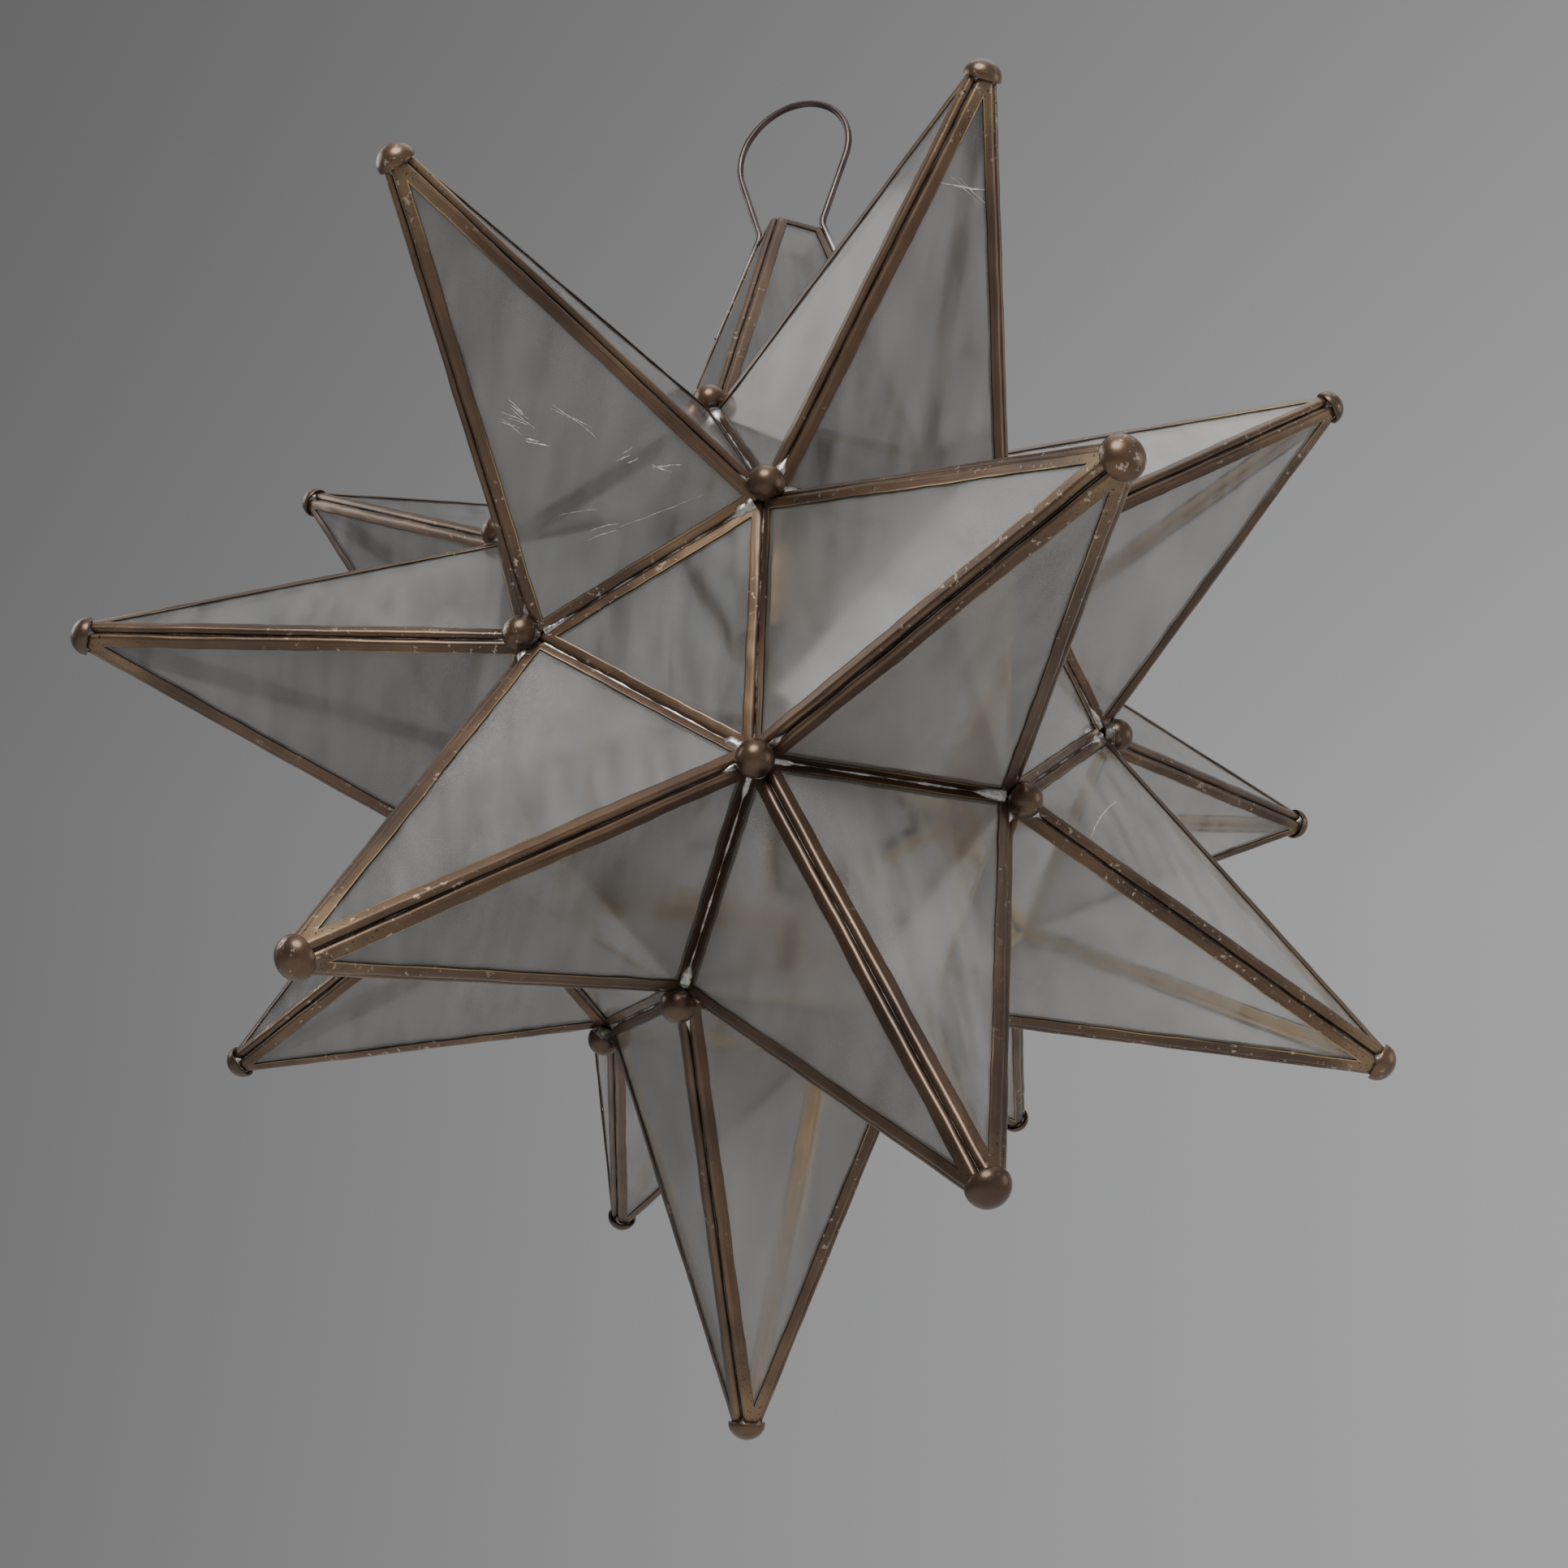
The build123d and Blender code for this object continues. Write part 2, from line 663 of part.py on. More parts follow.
glass_top = screw_top - bulb_wall - bulb_play
belly_z = screw_low - bulb_belly
tip_z = screw_low - bulb_length
bulb_in = bulb_neck_r - bulb_wall
with BuildPart() as bulb_glass:
    with BuildSketch(Plane.XZ):
        with BuildLine():
            Polyline((0, tip_z), (0, glass_top), (bulb_neck_r, glass_top), (bulb_neck_r, screw_low))
            Spline(
                (bulb_neck_r, screw_low),
                (bulb_r, belly_z),
                (0, tip_z),
                tangents=[(0, -1), (-bulb_tip_lean, -1)],
            )
        make_face()
    revolve(axis=Axis.Z)
    with BuildSketch(Plane.XZ):
        with BuildLine():
            Polyline((0, tip_z + bulb_tip_wall), (0, glass_top), (bulb_in, glass_top), (bulb_in, screw_low))
            Spline(
                (bulb_in, screw_low),
                (bulb_r - bulb_wall, belly_z),
                (0, tip_z + bulb_tip_wall),
                tangents=[(0, -1), (-bulb_tip_lean, -1)],
            )
        make_face()
    revolve(axis=Axis.Z, mode=Mode.SUBTRACT)
save(bulb_glass.part, "bulb_glass")

stem_low = glass_top - stem_flange_h - filament_stem_h
with BuildPart() as bulb_filament:
    add(turned([
        (0, glass_top),
        (bulb_in - bulb_play, glass_top),
        (bulb_in - bulb_play, glass_top - stem_flange_h),
        (filament_stem_r, glass_top - stem_flange_h),
        (filament_stem_r, stem_low),
        (filament_r, stem_low),
        (filament_r, stem_low - filament_h),
        (0, stem_low - filament_h),
    ]))
save(bulb_filament.part, "bulb_filament")
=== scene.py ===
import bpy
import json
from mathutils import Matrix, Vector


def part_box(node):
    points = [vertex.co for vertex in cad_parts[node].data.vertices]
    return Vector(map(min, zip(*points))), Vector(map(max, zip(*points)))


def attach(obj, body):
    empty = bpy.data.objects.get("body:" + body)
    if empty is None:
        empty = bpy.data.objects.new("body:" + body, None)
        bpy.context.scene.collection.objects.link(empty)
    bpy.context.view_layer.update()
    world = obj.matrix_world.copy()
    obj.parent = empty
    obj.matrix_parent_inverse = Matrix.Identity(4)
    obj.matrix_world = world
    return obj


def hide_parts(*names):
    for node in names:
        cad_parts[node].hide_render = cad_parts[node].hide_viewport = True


bl_info = {
    "name": "Glass star pendant",
    "version": (1, 0, 0),
    "blender": (4, 5, 0),
    "location": "View3D > Sidebar > Star pendant",
    "description": "Brass channels, solder, domes, bail and frosted panes of a hanging star lantern",
    "category": "Object",
}

import json
from itertools import combinations, product
from types import SimpleNamespace
from typing import NamedTuple

import bpy
import numpy as np
from bpy.props import FloatProperty, FloatVectorProperty, IntProperty, PointerProperty
from mathutils import Matrix

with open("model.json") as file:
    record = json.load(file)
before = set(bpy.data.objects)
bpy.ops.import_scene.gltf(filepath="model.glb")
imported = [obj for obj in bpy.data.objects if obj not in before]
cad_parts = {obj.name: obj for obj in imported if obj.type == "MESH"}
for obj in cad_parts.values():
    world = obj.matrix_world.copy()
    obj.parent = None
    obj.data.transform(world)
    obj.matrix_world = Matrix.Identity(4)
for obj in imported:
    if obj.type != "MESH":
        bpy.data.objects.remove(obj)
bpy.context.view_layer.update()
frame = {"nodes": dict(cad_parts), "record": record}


def unit(v):
    """A vector divided by its own length."""
    v = np.asarray(v, float)
    return v / np.linalg.norm(v)


knob_low, knob_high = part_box("valley_knobs")
STAR_CENTRE = (np.array(knob_low) + np.array(knob_high)) / 2
STAR_RIGHT = np.array([1.0, 0.0, 0.0])
STAR_UP = np.array([0.0, 0.0, 1.0])
UPPER_BACK = unit([0.0, 1.0, 1.0])
UPPER_FRONT = unit([0.0, -1.0, 1.0])
SQUARE_SPIKES = {
    "right": STAR_RIGHT,
    "left": -STAR_RIGHT,
    "upper_back": UPPER_BACK,
    "lower_front": -UPPER_BACK,
    "upper_front": UPPER_FRONT,
    "lower_back": -UPPER_FRONT,
}
PLAIN_NAMES = {
    "upper_back_upper_front": "top",
    "upper_back_lower_back": "back",
    "lower_front_upper_front": "front",
    "lower_front_lower_back": "bottom",
}
# Distance from the star's centre to a spike's foot, in halves of the foot's side.
FOOT_REACH = 1 + np.sqrt(2)
BETWEEN_FEET = np.radians(135)
FACET_CORNER = np.radians(60)
# Gap between a knob or the bail and the channels beside it.
PLAY = 0.0001


def metres(default, name, description):
    """A length in metres for the panel."""
    return FloatProperty(name=name, description=description, default=default, unit="LENGTH")


def paint(default, name, description):
    """A colour for the panel."""
    return FloatVectorProperty(name=name, description=description, default=default, subtype="COLOR", size=3)


class StarSizes(bpy.types.PropertyGroup):
    """Sizes of the star that its brass follows."""

    base_edge: metres(0.080, "Spike foot", "Side of every spike's foot and of every flat facet")
    apex_reach: metres(0.229, "Reach", "Star centre to the point where a spike's edges would meet")
    neck_rise: metres(0.109, "Neck height", "Height of the cut-off top spike")
    neck_half: metres(0.0092, "Neck half width", "Half the side of the open square at the top")
    channel_r: metres(0.0015, "Channel radius", "Radius of a channel's half-round back")
    channel_leg: metres(0.00225, "Channel leg", "Flat leg in front of the back")
    seam: metres(0.00006, "Seam", "Play between two channels side by side")
    dome_r: metres(0.0056, "Dome radius", "Radius of caps and knobs")
    dome_lip: metres(0.0005, "Dome lip", "Straight lip below a dome")
    wire_r: metres(0.0013, "Wire radius", "Radius of the bail's wire")
    waver: metres(0.00012, "Waver", "How far a hand-bent channel strays from its line")
    steps: IntProperty(name="Steps", description="Steps along each side of a channel", default=36, min=4)


class StarFinish(bpy.types.PropertyGroup):
    """Colours of the star's finishes."""

    patina_dark: paint((0.052, 0.032, 0.022), "Dark patina", "Brass where dirt has settled")
    patina_mid: paint((0.138, 0.080, 0.049), "Patina", "Brass over most of its surface")
    brass_worn: paint((0.440, 0.310, 0.175), "Worn brass", "Brass where hands and cloths have rubbed it")
    # Besides being clean, the inside brass is painted lighter, as painted light in the shaded inside of the
    # star.
    brass_inside: paint((0.86, 0.63, 0.27), "Inside brass", "Brass inside the star, which nobody touches")
    solder_grey: paint((0.560, 0.545, 0.520), "Solder", "Tin-grey solder in the grooves")
    glass_tint: paint((0.628, 0.608, 0.597), "Glass", "Frosted panes")
    glass_streak: paint((0.728, 0.728, 0.728), "Glass streak", "Wiped and dusty streaks on the panes")
    floor: paint((0.80, 0.80, 0.79), "Floor", "Plain pale floor")


class SpikeKind(NamedTuple):
    """What spikes of one kind share: the slope and height of a pane, the contact angle at a ridge, how far in
    from it a channel's centre line lies, and how far that is off to the side and below the ridge."""

    slope: float
    slant: float
    contact: float
    inset: float
    aside: float
    drop: float


def measures(s):
    """Angles and insets of the star, from its sizes: the centre line of a channel lies as far from an
    edge that it shares as its radius and half the seam allow, divided by the sine of half the angle there."""
    m = SimpleNamespace()
    m.half = s.base_edge / 2
    m.face = m.half * FOOT_REACH
    m.spike_h = s.apex_reach - m.face
    m.facet_slant = s.base_edge * np.sin(FACET_CORNER)
    m.neck_lean = np.arctan2(np.sqrt(2) * (m.half - s.neck_half), s.neck_rise)
    reach = s.channel_r + s.seam / 2

    def spike_kind(rise, head_half):
        slope = np.arctan2(rise, m.half - head_half)
        half = np.arccos(-np.cos(slope) ** 2) / 2
        inset = reach / np.sin(half)
        slant = rise / np.sin(slope)
        return SpikeKind(slope, slant, half - np.pi / 2, inset, inset * np.sin(half), inset * np.cos(half))

    m.spike, m.neck = spike_kind(m.spike_h, 0.0), spike_kind(s.neck_rise, s.neck_half)
    steepest = max(m.spike.slope, m.neck.slope)
    foot_angles = {
        "valley": 2 * np.pi - BETWEEN_FEET - 2 * steepest,
        "facet": np.pi + np.arccos(np.sqrt(2 / 3)) - steepest,
    }
    m.foot_in = {kind: reach / np.sin(angle / 2) for kind, angle in foot_angles.items()}
    m.foot_contact = {kind: np.pi / 2 - angle / 2 for kind, angle in foot_angles.items()}
    return m


def square_to(a, b):
    """Whether two of the star's ways stand at right angles: their dot product is next to nothing."""
    return abs(a @ b) < 0.5


def spike_table():
    """Every spike by name: the way it points, and its four sides with the kind of valley at each foot."""
    table = {}
    for name, ahead in SQUARE_SPIKES.items():
        table[name] = (ahead, [(v, "valley") for v in SQUARE_SPIKES.values() if square_to(ahead, v)])
    for (name, one), (other_name, other) in combinations(SQUARE_SPIKES.items(), 2):
        if square_to(one, other):
            both = f"{name}_{other_name}"
            across, along = unit(one - other), np.cross(one, other)
            sides = [(across, "valley"), (-across, "valley"), (along, "facet"), (-along, "facet")]
            table[PLAIN_NAMES.get(both, both)] = (unit(one + other), sides)
    return table


def pane_place(m, ahead, side, slope):
    """Place of a spike's pane: the middle of its foot, then its axes along the foot, up the slope and out."""
    out = side * np.sin(slope) + ahead * np.cos(slope)
    along = np.cross(ahead, side)
    return STAR_CENTRE + ahead * m.face + side * m.half, along, np.cross(out, along), out


def valley_corner(m, near, one, other):
    """A corner where spikes meet, from the star's centre: far along one way, and half a foot along two."""
    return (near * FOOT_REACH + one + other) * m.half


def facet_place(m, tip, one, other):
    """Place of a flat facet between three square spikes, with its foot opposite the first of them."""
    low = (valley_corner(m, one, tip, other) + valley_corner(m, other, tip, one)) / 2
    up = unit(valley_corner(m, tip, one, other) - low)
    out = unit(tip + one + other)
    return STAR_CENTRE + low, np.cross(up, out), up, out


def fixed_facets(m):
    """Places of the flat facets, apart from the door's."""
    ways = ((STAR_RIGHT, -STAR_RIGHT), (UPPER_BACK, -UPPER_BACK), (UPPER_FRONT, -UPPER_FRONT))
    door = (STAR_RIGHT, UPPER_BACK, -UPPER_FRONT)
    return [facet_place(m, *trio) for trio in product(*ways) if not np.allclose(trio, door)]


def outline(foot_half, head_half, height, foot_in, side_in, head_in=0.0):
    """Corners of a pane's centre line, drawn in from its foot, sides and head, as rows of (x, y)."""
    lean = np.arctan2(foot_half - head_half, height)
    drawn_in = foot_half - side_in / np.cos(lean)
    low, high = foot_in, height - head_in
    low_half, high_half = drawn_in - low * np.tan(lean), drawn_in - high * np.tan(lean)
    if high_half > 0:
        return np.array([(-low_half, low), (low_half, low), (high_half, high), (-high_half, high)])
    return np.array([(-low_half, low), (low_half, low), (0.0, drawn_in / np.tan(lean))])


def circle(count):
    """Angles of evenly spaced points round a full turn."""
    return np.linspace(0, 2 * np.pi, count, endpoint=False)


def waver(along, seed, amount, lengths):
    """Slow irregular stray: a sum of sines of three wavelengths with chosen phases, along a length."""
    phases = np.random.default_rng(seed).uniform(0, 2 * np.pi, len(lengths))
    waves = [np.sin(2 * np.pi * along / length + phase) / (i + 1.3)
             for i, (length, phase) in enumerate(zip(lengths, phases))]
    return amount * sum(waves)


LEG_ROUNDING = 0.00016
CHANNEL_WALL = 0.0004
BACK_STEPS = 12
STRAY_WAVES = (0.061, 0.027, 0.0113)
SWELL_WAVES = (0.019, 0.0083, 0.0041)
SWELL = 0.035
# Keeps the sides of one channel from straying alike.
SIDE_SHIFT = 0.37
CHANNEL_SEED = 11
FACET_SEED = 901
SEED_STEP = 5
# Share of a leg at which its lip begins.
LIP_FROM = 0.72
# Stands for the contact angle of a side that touches no other channel.
FREE_SIDE = -9.0
# How far dirt and painted shade spread from the line of contact in radians, and how thickly they lie.
VALLEY_DIRT_AND_SHADE = (0.40, 0.6)
RIDGE_DIRT_AND_SHADE = (0.75, 1.0)
# A channel's back lies inside the star below this angle, and at least so far below its contact.
INSIDE_BELOW = -0.2
CONTACT_MARGIN = 0.1


def channel_profile(s):
    """Section of a channel as rows of (outwards in the pane, out of the pane): half a circle, two legs
    with rounded ends, and the slot between them. Its angle about the back's centre comes with it."""
    r, leg, soft = s.channel_r, s.channel_leg, LEG_ROUNDING
    turn = np.linspace(-np.pi / 2, np.pi / 2, BACK_STEPS + 1)
    back = np.stack([r * np.cos(turn), r * np.sin(turn)], 1)
    slot = r - CHANNEL_WALL
    upper = np.array([
        (-leg * 0.45, r), (-leg * LIP_FROM, r), (-leg + soft * 1.6, r), (-leg + soft * 0.4, r - soft * 0.4),
        (-leg, r - soft * 1.5), (-leg, slot), (-leg * 0.12, slot)])
    lower = upper[::-1] * (1, -1)
    points = np.concatenate([back, upper, lower])
    return points, np.arctan2(points[:, 1], np.maximum(points[:, 0], 0))


def channel_zones(s, section, turn, contact, shape):
    """Four zones of a channel: the groove falls off with the cube of the angle from the contact, the lip
    rises over the end of each leg, the tip is left for later, and the crown is the cosine of the angle from
    straight out of the groove, or minus one on the inner side."""
    valley = contact > 0
    spread, amount = (np.where(valley, *pair)[:, None] for pair in zip(VALLEY_DIRT_AND_SHADE, RIDGE_DIRT_AND_SHADE))
    zones = np.ones(shape + (4,))
    # The groove zone marks dirt and painted shade where two channels meet.
    zones[..., 0] = (np.exp(-np.abs((turn - contact[:, None]) / spread) ** 3) * amount)[:, None, :]
    zones[..., 1] = np.clip((-section[:, 0] / s.channel_leg - LIP_FROM) / (1 - LIP_FROM), 0, 1)
    crown = np.clip(np.cos(turn - contact[:, None] - np.pi / 2), 0, 1)
    inside = np.where(contact == FREE_SIDE, INSIDE_BELOW, np.minimum(contact - CONTACT_MARGIN, INSIDE_BELOW))
    zones[..., 3] = np.where(turn < inside[:, None], -1.0, crown)[:, None, :]
    return zones


def channel_ring(s, corners, contact, seed, trim):
    """A section carried round a closed outline with mitred corners. A point of the section that lies a
    distance outwards from the line is moved on at each end of a side by that distance times the cotangent
    of half the corner. Returns local points (side, step, section, 3), with the length run and the zones."""
    section, turn = channel_profile(s)
    run = np.roll(corners, -1, 0) - corners
    length = np.linalg.norm(run, axis=1)
    run = run / length[:, None]
    outward = np.stack([run[:, 1], -run[:, 0]], 1)
    inner = np.arccos(np.clip(-(run * np.roll(run, 1, 0)).sum(1), -1, 1))
    stretch = 1 / np.tan(inner / 2)
    t = np.linspace(0, 1, s.steps + 1)
    along = length[:, None] * t
    # Nothing strays at the corners, so that the mitres meet.
    hush = np.clip(10 * t * (1 - t), 0, 1)
    shifted = along + SIDE_SHIFT * np.arange(len(corners))[:, None]
    stray = waver(shifted, seed, s.waver, STRAY_WAVES) * hush
    swell = 1 + waver(along, seed + 1, SWELL, SWELL_WAVES) * hush
    lift = waver(along, seed + 2, s.waver * 0.5, STRAY_WAVES) * hush
    u = section[:, 0] * swell[..., None] + stray[..., None]
    w = section[:, 1] * swell[..., None] + lift[..., None]
    mitre = t * np.roll(stretch, -1)[:, None] - (1 - t) * stretch[:, None]
    here, way, over = (v[:, None, None, :] for v in (corners, run, outward))
    flat = here + way * (along[..., None] + u * mitre[..., None])[..., None] + over * u[..., None]
    if trim is not None:
        flat[..., 1] = np.minimum(flat[..., 1], trim)
    points = np.concatenate([flat, w[..., None]], -1)
    return points, along, channel_zones(s, section, turn, contact, points.shape[:3])


SHARP_EDGE = np.radians(50)


class Surface:
    """Quads of one piece, gathered from grids, with their uv in metres and their four zones per corner."""

    def __init__(self):
        self.points, self.quads, self.uvs, self.zones, self.count = [], [], [], [], 0

    def add(self, points, quads, uv, zones):
        """Takes points (n, 3), quads (q, 4), and uv (q, 4, 2) and zones (q, 4, 4) for their corners."""
        self.points.append(points.reshape(-1, 3))
        self.quads.append(quads.reshape(-1, 4))
        self.uvs.append(uv.reshape(-1, 2))
        self.zones.append(zones.reshape(-1, 4))
        self.count += len(self.points[-1])

    def add_tube(self, points, u, v, zones):
        """A grid (row, column) closed round its columns, and at each end by a fan of quads on its middle."""
        rows, cols = points.shape[:2]
        start = self.count
        i, j = np.meshgrid(np.arange(rows - 1), np.arange(cols), indexing="ij")
        quad = ((i, j), (i, j + 1), (i + 1, j + 1), (i + 1, j))
        v = np.append(v, 2 * v[-1] - v[-2])
        quads = np.stack([a * cols + b % cols for a, b in quad], -1)
        uv = np.stack([np.stack([u[a], v[b]], -1) for a, b in quad], -2)
        self.add(points, quads + start, uv, np.stack([zones[a, b % cols] for a, b in quad], -2))
        pair = np.arange(0, cols, 2)
        for row, order in ((0, -1), (rows - 1, 1)):
            ring = start + row * cols + np.arange(cols)
            hub = np.full(len(pair), self.count)
            fan = np.stack([hub, ring[pair], ring[(pair + 1) % cols], ring[(pair + 2) % cols]], -1)
            end_zones = np.tile(zones[row, 0], (fan.size, 1))
            self.add(points[row].mean(0), fan[:, ::order], np.zeros((fan.size, 2)), end_zones)

    def build(self, name, material):
        """Puts the arrays into a mesh object at the origin, shaded smooth."""
        points, quads = np.concatenate(self.points), np.concatenate(self.quads)
        uvs, zones = np.concatenate(self.uvs), np.concatenate(self.zones)
        mesh = bpy.data.meshes.new(name)
        mesh.vertices.add(len(points))
        mesh.vertices.foreach_set("co", points.astype(np.float32).ravel())
        mesh.loops.add(quads.size)
        mesh.loops.foreach_set("vertex_index", quads.astype(np.int32).ravel())
        mesh.polygons.add(len(quads))
        mesh.polygons.foreach_set("loop_start", np.arange(0, quads.size, 4, dtype=np.int32))
        mesh.polygons.foreach_set("use_smooth", np.ones(len(quads), bool))
        mesh.uv_layers.new(name="length").data.foreach_set("uv", uvs.astype(np.float32).ravel())
        layer = mesh.attributes.new("zones", "FLOAT_COLOR", "CORNER")
        layer.data.foreach_set("color", zones.astype(np.float32).ravel())
        mesh.update(calc_edges=True)
        mesh.validate()
        mesh.set_sharp_from_angle(angle=SHARP_EDGE)
        mesh.materials.append(material)
        piece = bpy.data.objects.new(name, mesh)
        bpy.context.scene.collection.objects.link(piece)
        return piece


def zoned(grid, alpha=0.0):
    """Zones for a grid (row, column): all nought apart from the fourth."""
    zones = np.zeros(grid.shape[:2] + (4,))
    zones[..., 3] = alpha
    return zones


def carried(local, place):
    """Local (x, y, z) carried to a place: its origin, plus its three axes times x, y and z."""
    origin, x, y, z = place
    return origin + local[..., :1] * x + local[..., 1:2] * y + local[..., 2:3] * z


# Offsets that keep the pattern of one channel, or of one of its sides, from repeating on the next.
CHANNEL_OFFSET = 0.173
SIDE_OFFSET = 0.31
SECTION_GIRTH = 0.012
TIP_ZONE = 0.045
TIP_FADE = 0.03


def add_channel(surface, s, corners, contact, place, seed, trim=None, tip_from=None):
    """One channel ring on its pane. The tip zone fades in over the last part of a spike."""
    points, along, zones = channel_ring(s, corners, contact, seed, trim)
    sides, rows, cols = points.shape[:3]
    steps = rows - 1
    zones[..., 2] = 0.0 if tip_from is None else np.clip((points[..., 1] - tip_from) / TIP_FADE, 0, 1)
    e, i, j = np.meshgrid(np.arange(sides), np.arange(steps), np.arange(cols), indexing="ij")
    quad = ((i, j), (i + 1, j), (i + 1, j + 1), (i, j + 1))
    quads = np.stack([(e * steps + a) % (sides * steps) * cols + b % cols for a, b in quad], -1)
    u = along + (seed * CHANNEL_OFFSET + np.arange(sides) * SIDE_OFFSET)[:, None]
    v = np.linspace(0, SECTION_GIRTH, cols + 1)
    uv = np.stack([np.stack([u[e, a], v[b]], -1) for a, b in quad], -2)
    zones = np.stack([zones[e, a, b % cols] for a, b in quad], -2)
    surface.add(carried(points[:, :-1], place), quads + surface.count, uv, zones)


class Nodes:
    """The nodes of a material or of a world, with the inputs of its shader."""

    def __init__(self, owner, shader):
        owner.use_nodes = True
        self.tree = owner.node_tree
        self.shader = self.tree.nodes[shader].inputs
        self.coords = self.node("ShaderNodeTexCoord").outputs

    def node(self, kind, inputs=None, **settings):
        """Adds a node, sets its options, and links or sets the inputs that are given by name or number."""
        new = self.tree.nodes.new(kind)
        for key, value in settings.items():
            setattr(new, key, value)
        for key, value in (inputs or {}).items():
            if isinstance(value, bpy.types.NodeSocket):
                self.tree.links.new(value, new.inputs[key])
            else:
                new.inputs[key].default_value = value
        return new

    def ramp(self, value, low, high, start=0.0, end=1.0):
        """A value moved from one range to another and held between its ends."""
        inputs = {"Value": value, "From Min": low, "From Max": high, "To Min": start, "To Max": end}
        return self.node("ShaderNodeMapRange", inputs).outputs["Result"]

    def link(self, value, socket):
        """Leads a value to one of the shader's sockets."""
        self.tree.links.new(value, self.shader[socket])


class Finish(Nodes):
    """A material in the making."""

    def __init__(self, name):
        self.material = bpy.data.materials.new(name)
        super().__init__(self.material, "Principled BSDF")

    def zone(self):
        """The node that reads the four zones of a piece."""
        return self.node("ShaderNodeAttribute", attribute_name="zones")

    def axis(self, name):
        """One of the object's own coordinates in metres."""
        return self.node("ShaderNodeSeparateXYZ", {"Vector": self.coords["Object"]}).outputs[name]

    def noise(self, scale, detail=3.0, rough=0.55, coords="Object"):
        """Fractal noise of a number of features per metre, or of a number along each axis."""
        vector = self.coords[coords]
        if isinstance(scale, tuple):
            vector = self.node("ShaderNodeMapping", {"Vector": vector, "Scale": scale}).outputs["Vector"]
            scale = 1.0
        inputs = {"Vector": vector, "Scale": scale, "Detail": detail, "Roughness": rough}
        return self.node("ShaderNodeTexNoise", inputs).outputs["Fac"]

    def math(self, kind, a, b):
        """One sum on two values."""
        return self.node("ShaderNodeMath", {0: a, 1: b}, operation=kind).outputs[0]

    def times(self, a, b):
        """The product of two values."""
        return self.math("MULTIPLY", a, b)

    def mix(self, share, a, b, **settings):
        """Colour a, with its share of colour b over it."""
        a, b = (v if isinstance(v, bpy.types.NodeSocket) else (*v, 1.0) for v in (a, b))
        inputs = {"Factor": share, "A": a, "B": b}
        return self.node("ShaderNodeMix", inputs, data_type="RGBA", **settings).outputs[2]

    def bump(self, height, distance, strength):
        """A bump of a height in metres on the shader's normal."""
        inputs = {"Height": height, "Distance": distance, "Strength": strength}
        self.link(self.node("ShaderNodeBump", inputs).outputs["Normal"], "Normal")

    def set(self, **sockets):
        """Sets the shader's own sockets to plain numbers."""
        for key, value in sockets.items():
            self.shader[key.replace("_", " ")].default_value = value


def shade(colour, share):
    """A colour made darker to a share of itself."""
    return tuple(share * v for v in colour)


def shared(make, *colours):
    """The finish that a function makes, made once and then found again by its name."""
    return bpy.data.materials.get(make.__name__) or make(*colours)


GROOVE_DIRT_AND_SHADE = (0.018, 0.011, 0.008)
GRIME_AND_SHADE = (0.020, 0.014, 0.010)
PALE_FLAKE = (0.52, 0.43, 0.35)


def zoned_wear(f, c, colour, blotch, speck, streak):
    """Each zone of a channel: rubbed crowns, which also carry a painted highlight, and rubbed tips, pits near
    the tips, bright edges, painted shade beside the glass, pale flakes, dirt and painted shade in the
    grooves, and a bright inner side of clean brass, painted lighter as well and darker towards the upper
    left."""
    zone = f.zone()
    groove, lip, tip = f.node("ShaderNodeSeparateColor", {"Color": zone.outputs["Color"]}).outputs
    crown = zone.outputs["Alpha"]
    # Rubbed wear on the crowns, which also stands as a painted highlight along each rod; the tips are rubbed
    # as well.
    rubbed = f.times(f.ramp(crown, 0.55, 1.0), f.ramp(streak, 0.40, 0.75))
    rubbed = f.times(rubbed, f.ramp(blotch, 0.38, 0.66, 0.10, 0.55))
    rubbed = f.math("MAXIMUM", rubbed, f.times(tip, f.ramp(blotch, 0.40, 0.62, 0.0, 0.32)))
    colour = f.mix(rubbed, colour, c.brass_worn)
    colour = f.mix(f.times(tip, f.ramp(speck, 0.62, 0.68)), colour, GRIME_AND_SHADE)
    edge = f.times(f.ramp(lip, 0.25, 0.6), f.ramp(f.noise(14.0), 0.50, 0.64, 0.0, 0.5))
    colour = f.mix(edge, colour, c.brass_inside)
    # Painted shade along the lips of the legs, beside the glass.
    colour = f.mix(f.ramp(lip, 0.66, 0.9, 0.0, 0.85), colour, GRIME_AND_SHADE)
    flakes = f.ramp(f.noise(420.0, 4.0, 0.65), 0.61, 0.65)
    flakes = f.times(flakes, f.ramp(f.noise(13.0), 0.50, 0.60, 0.0, 0.75))
    colour = f.mix(flakes, colour, PALE_FLAKE)
    # Dirt and painted shade in the grooves between the channels.
    colour = f.mix(f.times(groove, 0.82), colour, GROOVE_DIRT_AND_SHADE)
    # The inner side is clean brass with painted light on it, and it is darker towards the upper left.
    lighter_rightward = f.ramp(f.math("SUBTRACT", f.axis("X"), f.axis("Z")), 0.14, 0.36)
    inner = f.mix(lighter_rightward, c.patina_mid, c.brass_inside)
    inner = f.mix(f.ramp(blotch, 0.2, 0.5, 0.4, 0.0), inner, c.brass_worn)
    return f.mix(f.ramp(crown, -0.3, -0.8), colour, inner)


